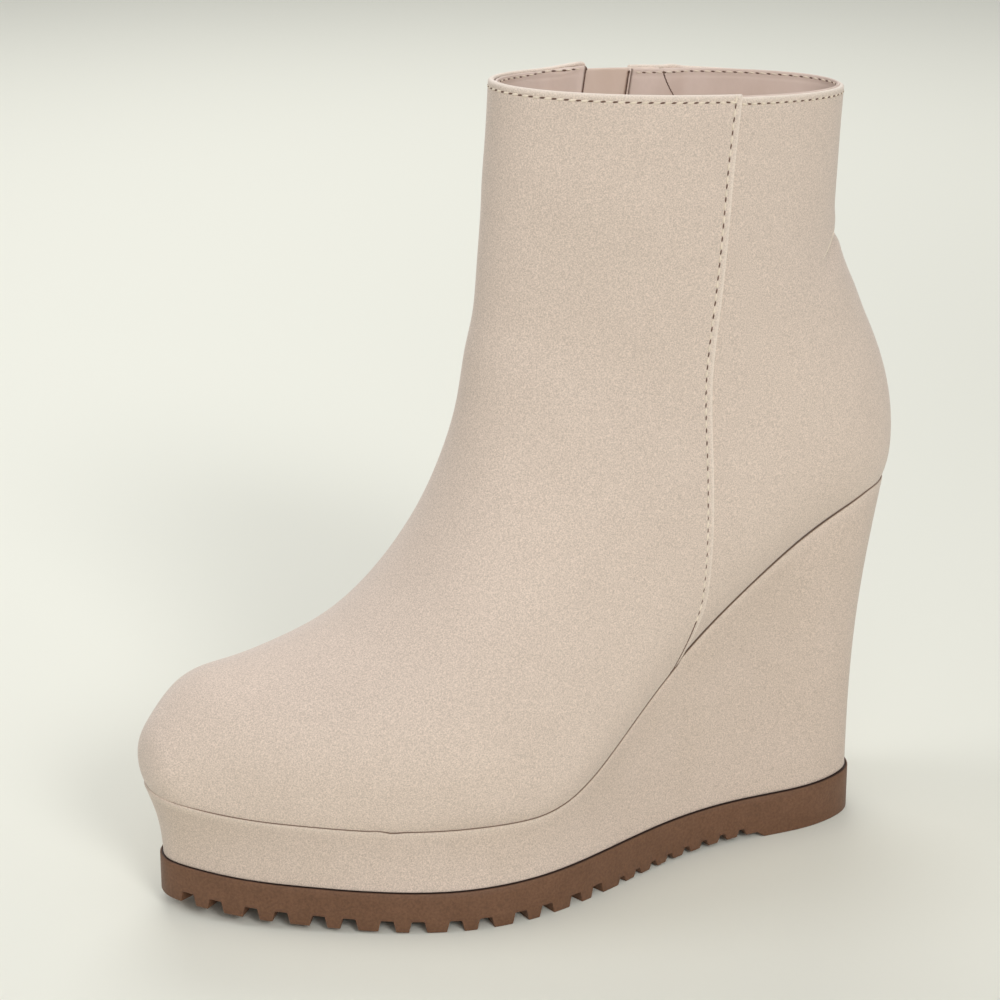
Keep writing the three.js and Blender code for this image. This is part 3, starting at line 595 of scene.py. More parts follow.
def panel_grid(rows, columns, first, start, finish, top):
    """t and unwrapped angle of a panel with close rows and columns at its edges, and how far in
    from its top and side each point is. start(t) and finish(t) are its side edges; top gives the
    height over the last's collar from the distances to both side edges."""
    share = np.concatenate([np.zeros(len(EDGE_STEPS)), np.linspace(0, 1, columns + 2)[1:-1],
                            np.ones(len(EDGE_STEPS))])
    middle_angle = start(np.array([1.0])) + share * (finish(np.array([1.0])) - start(np.array([1.0])))
    t_mm = mm_per_t(np.ones_like(share), middle_angle)
    span = np.abs(middle_angle[-1] - middle_angle[0]) * 40
    from_start = np.concatenate([EDGE_STEPS, 5 + share[len(EDGE_STEPS):] * span])
    from_finish = np.concatenate([5 + (1 - share[:-len(EDGE_STEPS)]) * span, EDGE_STEPS[::-1]])
    t_top = 1 + (COLLAR_RISE + top(from_start, from_finish)) / t_mm
    body = first + (1 - first) * np.linspace(0, 1, rows) ** 1.15
    rim = t_top[None, :] - EDGE_STEPS[::-1, None] / t_mm[None, :]
    main = body[:, None] * rim[:1]
    t = np.concatenate([main[:-1], rim])
    from_top = np.concatenate([np.full((rows - 1, len(share)), FAR),
                               np.repeat(EDGE_STEPS[::-1, None], len(share), 1)])
    a, b = start(t[:, 0]), finish(t[:, -1])
    per_a = 1 / np.maximum(mm_per_turn(t[:, 0], a + 0.03), 5)
    per_b = 1 / np.maximum(mm_per_turn(t[:, -1], b - 0.03), 5)
    left = a[:, None] + EDGE_STEPS[None] * per_a[:, None]
    right = b[:, None] - EDGE_STEPS[::-1][None] * per_b[:, None]
    q = np.linspace(0, 1, columns + 2)[1:-1]
    centre = left[:, -1:] + (right[:, :1] - left[:, -1:]) * q[None]
    u = np.concatenate([left, centre, right], 1)
    from_side = np.concatenate([EDGE_STEPS, np.full(columns, FAR), EDGE_STEPS[::-1]])
    return t, u, from_top, np.repeat(from_side[None], len(t), 0)


def shell(name, t, u, outer, inner, deep, close_rows=None, from_edge=None, painted_shade_mask=None):
    """A panel with thickness; faces more than deep under the foot bed are left out. Faces near from_edge
    0 are made paler, as edge wear and as a painted highlight; the shade mask marks where painted shade is
    laid."""
    face = skin_at(t, u, outer)
    back = skin_at(t, u, inner)
    rows, columns = t.shape
    front_index = np.arange(rows * columns).reshape(rows, columns)
    back_index = front_index + rows * columns
    points = np.concatenate([face.reshape(-1, 3), back.reshape(-1, 3)])
    faces = [grid_faces(front_index), grid_faces(back_index, False)]
    o, i = front_index[-1], back_index[-1]
    faces.append(np.stack([o[:-1], i[:-1], i[1:], o[1:]], -1))
    held = np.ones(rows, bool) if close_rows is None else close_rows
    both = held[:-1] & held[1:]
    o, i = front_index[:, 0], back_index[:, 0]
    faces.append(np.stack([o[:-1], i[:-1], i[1:], o[1:]], -1)[both])
    o, i = front_index[:, -1], back_index[:, -1]
    faces.append(np.stack([o[:-1], o[1:], i[1:], i[:-1]], -1)[both])
    faces = np.concatenate(faces)
    under = points[:, 2] < seat_height(points[:, 0]) - deep
    faces = faces[~under[faces].all(1)]
    worn = np.zeros(t.shape) if from_edge is None else np.exp(-from_edge / 0.7)
    ink = np.zeros(t.shape) if painted_shade_mask is None else painted_shade_mask
    marks = {"worn_edge": np.tile(worn.ravel(), 2), "edge_ink": np.tile(ink.ravel(), 2)}
    return mesh_object(name, points, faces, weld=2e-6, marks=marks)


def seam_edge(t):
    return angle_where(t, 1, lambda p: p[..., 0] > seam_x(p[..., 2]) + STITCH_INSET)


def slot_half(z, half):
    """Half width of the zip's slot, closing in a round end at its bottom."""
    rise = np.clip((z - SLOT_BOTTOM) / half, 0, 1)
    return half * np.sqrt(np.maximum(1 - (1 - rise) ** 2, 0))


def zip_edge(t, shift_of):
    return angle_where(t, -1, lambda p: p[..., 0] > zip_x(p[..., 2]) + shift_of(p[..., 2]))


def front_start(t):
    return np.maximum(seam_edge(t), bed_angle(t, 1, PANEL_FOOT))


def front_finish(t):
    edge = zip_edge(t, lambda z: -slot_half(z, SLOT_HALF) - ZIP_FLARE * smooth((z - FLARE_START) / 8))
    return 2 * math.pi - np.maximum(edge, bed_angle(t, -1, PANEL_FOOT))


def rear_start(t):
    edge = zip_edge(t, lambda z: slot_half(z, SLOT_HALF))
    return -np.maximum(edge, bed_angle(t, -1, PANEL_FOOT))


def rear_finish(t):
    edge = seam_edge(t)
    lap = UNDERLAP / np.maximum(mm_per_turn(t, edge), 5)
    return np.maximum(edge + lap, bed_angle(t, 1, PANEL_FOOT))


def trough(distance):
    return 0.2 * bump_at(distance - STITCH_INSET, 0.42)


def panel(name, grid, face, back, collar, beside_zip, turned, close_rows=None):
    """A leather panel. collar is its depth at the turned collar edge and beside_zip what is
    added there near the zip; turned is 1 where a side edge is rounded and stitched."""
    t, u, from_top, from_side = grid
    flare = np.clip(1 - from_top / 5, 0, 1) ** 2
    inner = back - (collar + beside_zip * over_guard(skin(t, u)) + back) * flare
    outer = np.full_like(t, face)
    radius = (outer - inner) / 2
    outer = outer - rounded(from_top, radius) - turned * rounded(from_side, 0.3)
    outer = outer - trough(from_top) - turned * trough(from_side)
    inner = inner + rounded(from_top, radius)
    from_edge = np.minimum(from_top, np.where(turned > 0, from_side, FAR))
    return shell(name, t, u, outer, inner, PANEL_HIDDEN, close_rows=close_rows, from_edge=from_edge)


def front_panel():
    def top(_, from_finish):
        return ZIP_RISE * smooth(1 - from_finish / 16) - rounded(from_finish, 1.3)

    grid = panel_grid(170, 130, 0.0, front_start, front_finish, top)
    t = grid[0]
    on_seam = seam_edge(t[:, 0]) > bed_angle(t[:, 0], 1, PANEL_FOOT)
    beside_slot = zip_edge(t[:, -1], lambda z: -slot_half(z, SLOT_HALF))
    on_zip = beside_slot > bed_angle(t[:, -1], -1, PANEL_FOOT)
    turned = np.zeros_like(t)
    half = t.shape[1] // 2
    turned[:, :half] = on_seam[:, None]
    turned[:, half:] = on_zip[:, None]
    past_toe = t[:, 0] >= PLACES[2]
    return panel("front_panel", grid, FRONT_FACE, FRONT_BACK, 2.0, 1.0, turned, past_toe)


def rear_panel():
    def top(from_start, _):
        return -0.9 + 1.1 * smooth(1 - from_start / 40) + 0.4 * bump_at(from_start - 12, 2)

    grid = panel_grid(190, 140, 0.42, rear_start, rear_finish, top)
    turned = np.zeros_like(grid[0])
    turned[:, :turned.shape[1] // 2] = 1
    return panel("rear_panel", grid, REAR_FACE, REAR_BACK, 2.5, 0.5, turned)


def window_front(z):
    return -slot_half(z + 4, WINDOW_HALF) - WINDOW_AHEAD


def window_rear(z):
    return slot_half(z + 4, WINDOW_HALF + 1.0) - WINDOW_AHEAD


def over_guard(p, reach=27.0, ease=9.0):
    """1 on the inner side where the lining runs over the strip behind the zip."""
    aside = p[..., 0] - zip_x(p[..., 2])
    share = smooth((reach - np.abs(aside)) / ease) * np.clip((p[..., 2] - GUARD_BOTTOM + 4) / 4, 0, 1)
    return share * (p[..., 1] > 0)


def lining_face(over):
    return LINING_FACE + (LAP_FACE - LINING_FACE) * over


def lining():
    def start(t):
        return -zip_edge(t, window_rear)

    def finish(t):
        return 2 * math.pi - zip_edge(t, window_front)

    def top(from_start, from_finish):
        return (-0.6 + 0.2 * smooth(1 - from_start / 20) + ZIP_RISE * smooth(1 - from_finish / 14)
                - rounded(from_finish, 0.8) - rounded(from_start, 0.8))

    t, u, from_top, from_side = panel_grid(160, 200, 0.02, start, finish, top)
    p = skin(t, u)
    over = over_guard(p)
    at_rear = np.arange(t.shape[1])[None] < t.shape[1] // 2
    outer = LINING_BACK + (GUARD_BACK - 0.05 - LINING_BACK) * over_guard(p, 17.5, 1.6)
    inner = lining_face(over)
    # the folded edge stands a little off the strip behind it; the rear one has a crease along it
    fold = bump_at(from_side, 1.6) * over
    outer, inner = outer - 0.5 * fold, inner - 0.8 * fold
    crease = bump_at(from_side - 1.1, 0.35) * over * at_rear
    inner = inner + 0.45 * crease
    radius = (outer - inner) / 2
    round_side = rounded(from_side, radius) * (from_top > radius)
    inner = inner + rounded(from_top, radius) + round_side
    outer = outer - rounded(from_top, radius) - round_side
    inner = inner + 0.5 * trough(from_top)
    # painted shade in the gap under the folded window edges and in the rear crease
    ink = np.maximum(crease, np.where(at_rear, from_side < 0.1, from_side < 0.7) * over)
    return shell("lining", t, u, outer, inner, 1.0, from_edge=from_top, painted_shade_mask=ink)


def collar_z(x):
    """Height of the last's collar over x, seen from the side."""
    low_x, low_z, top_x, top_z = [float(c(1.0)) for c in CURVES[:4]]
    return low_z + (low_x - x) / (low_x - top_x) * (top_z - low_z)


def strip_shell(name, half, bottom, from_collar, columns, face, back, round_over):
    """A strip along the zip's line on the inner side, with rounded long edges and ends."""
    across = half * np.sin(np.linspace(-1, 1, columns) * math.pi / 2)
    close_ends = np.concatenate([[0, .1, .3, .6], np.linspace(1, 99, 60), [99.4, 99.7, 99.9, 100]]) / 100
    reach = collar_z(zip_x(COLLAR_HEIGHT - 3.0) + across) - from_collar - bottom
    z = bottom + close_ends[:, None] * reach[None]
    t, angle = on_side(zip_x(z) + across[None], z, -1)
    u = np.where(angle < 0, angle + 2 * math.pi, angle)
    order = np.argsort(u[0])
    t, u = t[:, order], u[:, order]
    from_side = half - np.abs(across[order])[None] + 0 * t
    ends = np.minimum(close_ends, 1 - close_ends)[:, None] * reach[order][None]
    drop = rounded(np.minimum(from_side, ends), round_over)
    return shell(name, t, u, face - drop, back + drop, FAR)


place(front_panel(), "boot", "nubuck", ["upper"], NUBUCK)
place(rear_panel(), "boot", "nubuck", ["upper"], NUBUCK)
place(lining(), "boot", "guard_leather", ["upper"], LINING)

guard = strip_shell("zip_guard_strip", GUARD_HALF - 0.3, GUARD_BOTTOM + 0.5, -0.5, 25,
                    GUARD_FACE, GUARD_BACK, 0.4)
place(guard, "boot", "guard_leather", ["zip_guard"], GUARD)

tape = strip_shell("zip_tape_strip", 6.9, SLOT_BOTTOM - 0.2, 2.2, 21, TAPE_FACE, TAPE_BACK, 0.3)
place(tape, "boot", "zip_tape", ["zip"], TAPE)


# Platform wedge
def widened(ring, distance):
    ahead, behind = np.roll(ring, -1, 0), np.roll(ring, 1, 0)
    out = np.stack([ahead[:, 1] - behind[:, 1], behind[:, 0] - ahead[:, 0]], -1)
    out = out / np.linalg.norm(out, axis=1, keepdims=True)
    moved = ring.copy()
    moved[:, :2] += out * np.asarray(distance).reshape(-1, 1)
    return moved


def station_share(count):
    return (1 - np.cos(np.linspace(0, math.pi, count + 1))) / 2


def sole_side(side, count):
    edge = outer_edge if side > 0 else inner_edge
    x = SOLE_SETBACK + SOLE_LENGTH * station_share(count)
    y = -side * BALL_WIDTH * edge(np.linspace(0, 1, count + 1))
    return np.stack([x, y, 0 * x], -1)


def bed_crossing(end):
    def under_seat(t):
        p = skin(t, 0.0)
        return p[..., 2] < seat_height(p[..., 0])

    return float(halve(PLACES[6], end, under_seat, 40))


def feather_side(side, count):
    first, last = bed_crossing(0.0), bed_crossing(1.0)
    fore, aft = skin(first, 0.0), skin(last, 0.0)
    target = fore[0] + (aft[0] - fore[0]) * station_share(count)

    def on_feather(t):
        return skin(t, side * bed_angle(t, side, 0.0))

    points = on_feather(halve(np.full(count + 1, first), np.full(count + 1, last),
                              lambda t: on_feather(t)[:, 0] < target, 40))
    points[0], points[-1] = fore, aft
    return points


def closed_ring(outer, inner):
    return np.concatenate([outer, inner[1:-1][::-1]])


def cap_faces(base, count, flip):
    """Strips between the two sides of a ring of twice count points."""
    faces = []
    for i in range(count):
        a, b = base + i, base + i + 1
        c, d = base + (2 * count - i - 1), base + (2 * count - i) % (2 * count)
        if i == 0:
            faces.append((a, b, c))
        elif i == count - 1:
            faces.append((a, b, d))
        else:
            faces.append((a, b, c, d))
    return [tuple(reversed(f)) for f in faces] if flip else faces


def platform_wedge():
    count = 170
    sole = closed_ring(sole_side(1, count), sole_side(-1, count))
    feather = closed_ring(feather_side(1, count), feather_side(-1, count))
    bottom = widened(sole, -WEDGE_TUCK)
    # the rear panel lies one leather thickness deeper, so the cover steps in at both seams
    foot = np.where(feather[:, 1] < 0, seam_x(SEAM_FOOT) + STITCH_INSET, zip_x(SEAM_FOOT))
    step = (REAR_FACE - FRONT_FACE) * smooth((feather[:, 0] - foot + 0.6) / 1.2)
    at_toe = smooth(1 - (feather[:, 0] - feather[:, 0].min()) / 13)
    proud = WEDGE_PROUD + 0.2 * at_toe
    top = widened(feather, proud + step)
    # the cover pulls in over one place on the outer side
    pinch = 0.4 * bump_at(feather[:, 0] - 57, 2.2) - 0.3 * bump_at(feather[:, 0] - 53.5, 1.2)
    pinch = pinch * (feather[:, 1] < 0)
    top_z = seat_height(top[:, 0]) - WEDGE_ROLL - pinch + 0.5 * at_toe
    bottom_z = sole_top(bottom[:, 0]) + 0.05
    hollow = WEDGE_HOLLOW + HEEL_HOLLOW * (top_z - bottom_z) / HEEL_HEIGHT
    wall, ink = [], []
    turn_under = 0.4
    for share in np.concatenate([[0, .004, .012, .025, .05], np.linspace(0.1, 1, 19)]):
        ring = bottom + (top - bottom) * share
        tuck = rounded((top_z - bottom_z) * share, turn_under)
        ring = widened(ring, -hollow * math.sin(math.pi * share) - tuck)
        ring[:, 2] = bottom_z + (top_z - bottom_z) * share
        wall.append(ring)
        ink.append(np.zeros(len(ring)))
    turns = np.linspace(0, math.pi / 2, 8)[1:]
    lips = [(WEDGE_ROLL * (1 - math.cos(turn)), WEDGE_ROLL * math.sin(turn)) for turn in turns]
    ledge = np.maximum(proud - 0.3, WEDGE_ROLL + 0.05)
    lips += [(ledge + inset, WEDGE_ROLL - drop) for inset, drop in ((0, 0.05), (0.15, 0.2), (2.4, 1.6))]
    for inset, lift in lips:
        ring = widened(top, -inset * np.ones(len(top)))
        ring[:, 2] = top_z + lift
        wall.append(ring)
        # painted shade in the crevice where the roll turns in under the upper
        ink.append(smooth((inset - proud + 0.36) / 0.16) * np.ones(len(ring)))
    total = 2 * count
    index = np.arange(len(wall) * total).reshape(len(wall), total)
    index = np.concatenate([index, index[:, :1]], 1)
    faces = list(grid_faces(index, False))
    faces += cap_faces(0, count, True) + cap_faces((len(wall) - 1) * total, count, False)
    points = np.concatenate(wall)
    # a faint painted highlight along the rolled top edge
    below = np.tile(seat_height(top[:, 0]) - WEDGE_ROLL, len(wall)) - points[:, 2]
    worn = 0.3 * np.exp(-((below - 0.3) / 0.8) ** 2)
    return mesh_object("wedge_cover", points, faces,
                       marks={"worn_edge": worn, "edge_ink": np.concatenate(ink)})


place(platform_wedge(), "boot", "wedge_cover", ["platform_wedge"], COVER)


# Outsole
def underside(x):
    rise = np.clip((x - ARCH_START) / (BLOCK_FRONT - ARCH_START), 0, 1)
    slant = np.clip((BLOCK_FRONT - x) / HEEL_BLOCK_SLANT, 0, 1)
    return ground_lift(x) + WAIST_RISE * rise * slant


def groove_list(walk_x):
    """(centre, width, depth, reach) of each groove along one side, from the toe."""
    grooves = []
    length, wide = TOE_BLOCK, False
    while walk_x(length) < ARCH_START - WIDE_LUG:
        grooves.append((length, LUG_GAP, LUG_DEPTH, min(LUG_REACH, length)))
        length += LUG_GAP + (WIDE_LUG if wide else NARROW_LUG)
        wide = not wide
    while walk_x(length) < BLOCK_FRONT - HEEL_BLOCK_SLANT - RIB_GAP:
        grooves.append((length, RIB_GAP, RIB_DEPTH, RIB_REACH))
        length += RIB_GAP + RIB_WIDTH
    return grooves


CORNER = 0.35      # worn lug corners
FILLET = 0.45      # moulded root of each groove
DRAFT = 0.3        # half of the walls' slant
ARC = np.sin(np.linspace(0, math.pi / 2, 5))
SOLE_SHOULDER = [(3.0, -0.3), (0.6, -0.3), (0.42, 0.0), (0.14, -0.06), (0.0, -0.3)]   # inset, height
SOLE_CORNER = [(0.0, 0.35), (0.04, 0.21), (0.14, 0.09), (0.35, 0.0)]                  # inset, lift
SPINE_INSET = 14.0  # ends of the sole's middle line from toe and heel
LOOK = 1.5          # how far each way the run of the edge is taken
# share of a groove's reach, and how much of its depth is left there
GROOVE_END = [(0.35, 1), (0.7, 1), (0.9, 1), (0.93, 0.9), (0.95, 0.1), (0.98, 0), (1.0, 0)]


def edge_profile(total, walk_x):
    """Stations along one side: length, how deep the groove cuts there and how far it reaches."""
    rows = []
    cursor = 0.0
    for centre, width, depth, reach in groove_list(walk_x):
        near, far = centre - width / 2, centre + width / 2
        plain = np.arange(cursor, near - DRAFT - CORNER - 0.3, 1.0)
        rows += [(s, 0.0, reach) for s in plain]
        low, high = near - DRAFT, near + DRAFT
        cut = [(low - CORNER + CORNER * a, CORNER * (1 - math.sqrt(1 - a * a))) for a in ARC]
        root = [(high + FILLET * (1 - math.sqrt(1 - a * a)), depth - FILLET * (1 - a)) for a in ARC]
        one_side = cut + root
        other = [(2 * centre - s, d) for s, d in reversed(one_side)]
        rows += [(s, d, reach) for s, d in one_side + other]
        cursor = far + DRAFT + CORNER + 0.5
    rows += [(s, 0.0, RIB_REACH) for s in np.append(np.arange(cursor, total - 0.5, 0.8), total)]
    return np.array(rows)


def bridge(first, first_key, second, second_key, flip):
    """Triangles between two rows of points that run the same way."""
    faces = []
    i = j = 0
    while i < len(first) - 1 or j < len(second) - 1:
        step_first = j == len(second) - 1 or (
            i < len(first) - 1 and first_key[i + 1] <= second_key[j + 1])
        if step_first:
            faces.append((first[i], first[i + 1], second[j]))
            i += 1
        else:
            faces.append((first[i], second[j + 1], second[j]))
            j += 1
    return [tuple(reversed(f)) for f in faces] if flip else faces


def ring_row(edge, inward, inset, height):
    """A row of points set in from the edge, at a height."""
    return np.column_stack([edge + inward * np.reshape(inset, (-1, 1)), height])


def outsole():
    spine_x = np.linspace(SOLE_SETBACK + SPINE_INSET, SOLE_REAR - SPINE_INSET, 120)
    dense = [sole_side(side, 1200) for side in (1, -1)]
    middle_y = (np.interp(spine_x, dense[0][:, 0], dense[0][:, 1])
                + np.interp(spine_x, dense[1][:, 0], dense[1][:, 1])) / 2
    low_spine = np.stack([spine_x, middle_y, underside(spine_x)], -1)
    high_spine = np.stack([spine_x, middle_y, sole_top(spine_x)], -1)
    points = [low_spine, high_spine]
    ledge = [0.0] * (2 * len(spine_x))
    base = 2 * len(spine_x)
    faces = []
    low_index, high_index = np.arange(len(spine_x)), np.arange(len(spine_x)) + len(spine_x)
    for side, path in zip((1, -1), dense):
        length = np.concatenate([[0], np.cumsum(np.linalg.norm(np.diff(path, axis=0), axis=1))])
        stations = edge_profile(length[-1], lambda s: np.interp(s, length, path[:, 0]))
        s, cut, reach = stations.T
        x, y = np.interp(s, length, path[:, 0]), np.interp(s, length, path[:, 1])
        before, after = np.clip(s - LOOK, 0, length[-1]), np.clip(s + LOOK, 0, length[-1])
        dx = np.interp(after, length, path[:, 0]) - np.interp(before, length, path[:, 0])
        dy = np.interp(after, length, path[:, 1]) - np.interp(before, length, path[:, 1])
        from_end = np.minimum(s, length[-1] - s)
        dx = np.where(from_end < LOOK, dx * from_end / LOOK, dx)
        size = np.hypot(dx, dy)
        inward = np.stack([-side * dy / size, side * dx / size], -1)
        # grooves stop short of the middle line
        to_spine = np.hypot(x - np.clip(x, spine_x[0], spine_x[-1]), y - np.interp(x, spine_x, middle_y))
        room = np.minimum(reach, 0.72 * to_spine)
        top_z, low_z = sole_top(x), underside(x)
        edge = np.stack([x, y], -1)
        ring_rows = [ring_row(edge, inward, inset, top_z + height) for inset, height in SOLE_SHOULDER]
        for share in (0.25, 0.5, 0.75):
            ring_rows.append(ring_row(edge, inward, 0.0, top_z - 0.4 + (low_z + 4.0 - top_z) * share))
        ring_rows += [ring_row(edge, inward, inset, low_z + cut + lift) for inset, lift in SOLE_CORNER]
        for share, keep in GROOVE_END:
            under = underside(np.clip(x + inward[:, 0] * room * share, SOLE_SETBACK, SOLE_REAR))
            ring_rows.append(ring_row(edge, inward, room * share, under + cut * keep))
        rows = len(ring_rows)
        index = base + np.arange(rows * len(s)).reshape(rows, len(s))
        points += ring_rows
        faces += [tuple(f) for f in grid_faces(index, side < 0)]
        # painted shade on the top ledge under the wedge, weaker on its lip
        ledge += [1.0] * (2 * len(s)) + [0.55] * len(s) + [0.0] * ((rows - 3) * len(s))
        key = (x - x.min()) / (x.max() - x.min())
        spine_key = (spine_x - spine_x[0]) / (spine_x[-1] - spine_x[0])
        faces += bridge(index[-1], key, low_index, spine_key, side < 0)
        faces += bridge(index[0], key, high_index, spine_key, side > 0)
        base += rows * len(s)
    piece = mesh_object("lugged_outsole", np.concatenate(points), faces, weld=4e-6,
                        marks={"edge_ink": ledge})
    piece.data.set_sharp_from_angle(angle=math.radians(50))
    return piece


place(outsole(), "boot", "rubber", ["outsole"], RUBBER)


# Insole
def insole():
    t = np.linspace(bed_crossing(0.0) + 0.006, bed_crossing(1.0) - 0.004, 90)
    rows = []
    for side in (1, -1):
        angle = angle_where(t, side, lambda p: p[..., 2] < seat_height(p[..., 0]) + 3)
        rows.append(skin_at(t, side * np.maximum(angle, 0.05), -3.1))
    q = np.linspace(0, 1, 25)[None, :, None]
    p = rows[0][:, None] * (1 - q) + rows[1][:, None] * q
    crown = np.sin(np.linspace(0, 1, 25) * math.pi)[None]
    dish = 1 - crown ** 0.35
    p[..., 2] = seat_height(np.clip(p[..., 0], 0, UPPER_LENGTH)) + 2.9 + 0.8 * dish - 0.5 * crown
    low = p.copy()
    low[..., 2] -= 2.2
    index = np.arange(p[..., 0].size).reshape(p.shape[:2])
    under = index + index.size
    faces = [grid_faces(index), grid_faces(under, False)]
    for o, i in ((index[0], under[0]), (index[:, -1], under[:, -1]), (index[-1][::-1], under[-1][::-1]),
                 (index[::-1, 0], under[::-1, 0])):
        faces.append(np.stack([o[:-1], o[1:], i[1:], i[:-1]], -1))
    return mesh_object("insole_cover", np.concatenate([p.reshape(-1, 3), low.reshape(-1, 3)]),
                       np.concatenate(faces), weld=1e-6)


place(insole(), "boot", "footbed", ["insole"], SOCK)


# Rows of stitches and zip teeth
def path_object(name, paths):
    points, edges = [], []
    for path in paths:
        base = len(points)
        points += list(metres(path))
        edges += [(base + i, base + i + 1) for i in range(len(path) - 1)]
    mesh = bpy.data.meshes.new(name)
    mesh.from_pydata([tuple(p) for p in points], edges, [])
    return in_scene(name, mesh)


def tree_with(name, sizes):
    tree = bpy.data.node_groups.new(name, "GeometryNodeTree")
    tree.interface.new_socket("Geometry", in_out="INPUT", socket_type="NodeSocketGeometry")
    for label, value in sizes.items():
        socket = tree.interface.new_socket(label, in_out="INPUT", socket_type="NodeSocketFloat")
        socket.default_value = value
    tree.interface.new_socket("Geometry", in_out="OUTPUT", socket_type="NodeSocketGeometry")
    return tree, tree.nodes.new("NodeGroupInput").outputs


def grown(piece, tree, sizes):
    """Runs the tree on the piece and returns the result as a plain mesh object."""
    modifier = piece.modifiers.new("rows", "NODES")
    modifier.node_group = tree
    for item in tree.interface.items_tree:
        if item.item_type == "SOCKET" and item.in_out == "INPUT" and item.name in sizes:
            modifier[item.identifier] = sizes[item.name]
    graph = bpy.context.evaluated_depsgraph_get()
    mesh = bpy.data.meshes.new_from_object(piece.evaluated_get(graph))
    mesh.name = piece.name
    mesh.shade_smooth()
    piece.modifiers.clear()
    result = in_scene(piece.name + "_made", mesh)
    bpy.data.objects.remove(piece)
    return result


def walked(tree, size, step):
    """Points at even steps along the rows, and how each is turned along its row."""
    curve = add(tree, "GeometryNodeMeshToCurve", {0: size["Geometry"]})
    even = add(tree, "GeometryNodeResampleCurve", {"Curve": curve, "Length": step}, mode="LENGTH")
    tangent = add(tree, "GeometryNodeInputTangent")
    return even, add(tree, "FunctionNodeAlignRotationToVector", {"Vector": tangent}, axis="X")


def beaded(tree, where, segments, scale, material):
    """A flattened ball on each chosen point, as real geometry in its material."""
    bead = add(tree, "GeometryNodeMeshUVSphere", {"Segments": segments, "Rings": 6, "Radius": 0.5})
    flat = add(tree, "ShaderNodeCombineXYZ", dict(enumerate(scale)))
    beads = add(tree, "GeometryNodeInstanceOnPoints", {**where, "Instance": bead, "Scale": flat})
    real = add(tree, "GeometryNodeRealizeInstances", {0: beads})
    return add(tree, "GeometryNodeSetMaterial", {"Geometry": real, "Material": material})


def stitch_tree(thread, hole):
    """Threads and needle holes turn by turn along each path."""
    tree, size = tree_with("stitch rows", {"Spacing": 0.00335, "Length": 0.0023, "Width": 0.0007,
                                           "Slit": 0.0016, "Slit Width": 0.00052})
    half = add(tree, "ShaderNodeMath", {0: size["Spacing"], 1: 0.5}, operation="MULTIPLY")
    even, turned = walked(tree, size, half)
    # each stitch lies a little across the row, as a lockstitch does
    turned = add(tree, "FunctionNodeRotateRotation", {0: turned, 1: (0.0, 0.12, 0.12)},
                 rotation_space="LOCAL")
    number = add(tree, "GeometryNodeInputIndex")
    odd = add(tree, "ShaderNodeMath", {0: number, 1: 2.0}, operation="MODULO")
    is_even = add(tree, "ShaderNodeMath", {0: 1.0, 1: odd}, operation="SUBTRACT")
    rows = []
    for chosen, long, wide, material in ((is_even, size["Length"], size["Width"], thread),
                                         (odd, size["Slit"], size["Slit Width"], hole)):
        where = {"Points": even, "Selection": chosen, "Rotation": turned}
        rows.append(beaded(tree, where, 8, (long, wide, wide), material))
    add(tree, "NodeGroupOutput", {0: add(tree, "GeometryNodeJoinGeometry", {0: rows})})
    return tree


def coil_tree(material):
    """Coil of the closed zip: flat beads laid across the line, a row on each side."""
    tree, size = tree_with("zip coil", {"Pitch": COIL_PITCH / 1000, "Reach": 0.0026, "Wire": 0.0009})
    even, turned = walked(tree, size, size["Pitch"])
    facing = add(tree, "FunctionNodeAlignRotationToVector",
                 {"Rotation": turned, "Vector": (0.0, 1.0, 0.0)}, axis="Z", pivot_axis="X")
    coils = beaded(tree, {"Points": even, "Rotation": facing}, 10,
                   (size["Wire"], size["Reach"], size["Wire"]), material)
    add(tree, "NodeGroupOutput", {0: coils})
    return tree


def collar_path(start, finish, inset, offset, over_front):
    """A row round the collar between two unwrapped angles."""
    u = np.linspace(start, finish, 160)
    t = 1 + (over_front - inset) / mm_per_t(np.ones_like(u), u)
    return skin_at(t, u, offset)


one = np.array([1.0])
seam_top = float(seam_edge(one)[0])
turn_mm = 1 / float(mm_per_turn(one, np.array([seam_top]))[0])
front_zip = float(front_finish(one)[0])
rear_zip = float(rear_start(one)[0])
outer_rows = [
    collar_path(seam_top + 3.2 * turn_mm, front_zip - 3.0 * turn_mm, STITCH_INSET, -SUNK, COLLAR_RISE),
    collar_path(rear_zip + 3.0 * turn_mm, seam_top - 1.2 * turn_mm, STITCH_INSET, REAR_FACE - SUNK,
                COLLAR_RISE - 0.7),
]


def row_on_side(x, z, side, offset, low=-math.inf, high=math.inf):
    """A row over x and z, kept where it is between low and high above the foot bed."""
    t, angle = on_side(x, z, side)
    p = skin(t, angle)
    above = p[:, 2] - seat_height(p[:, 0])
    kept = (above > low) & (above < high)
    return skin_at(t[kept], angle[kept], offset)


def seam_rows():
    z = np.linspace(ROW_FOOT, COLLAR_HEIGHT - 3.9, 200)
    rows = [row_on_side(seam_x(z), z, 1, -SUNK, low=13)]
    z = np.linspace(SLOT_BOTTOM - 1.0, COLLAR_HEIGHT - 6.5, 160)
    for sign, face in ((-1, FRONT_FACE), (1, REAR_FACE)):
        beside = sign * (slot_half(z, SLOT_HALF) + STITCH_INSET)
        rows.append(row_on_side(zip_x(z) + beside, z, -1, face - SUNK))
    z = np.linspace(ROW_FOOT, SLOT_BOTTOM - 3.0, 120)
    rows.append(row_on_side(zip_x(z) - STITCH_INSET, z, -1, -SUNK, low=1.5))
    return rows


def seam_crease():
    """Below the last stitch the seam is only a crease, down to the wedge."""
    z = np.linspace(ROW_FOOT, 110, 200)
    return row_on_side(seam_x(z), z, 1, -0.04, low=0.5, high=14)


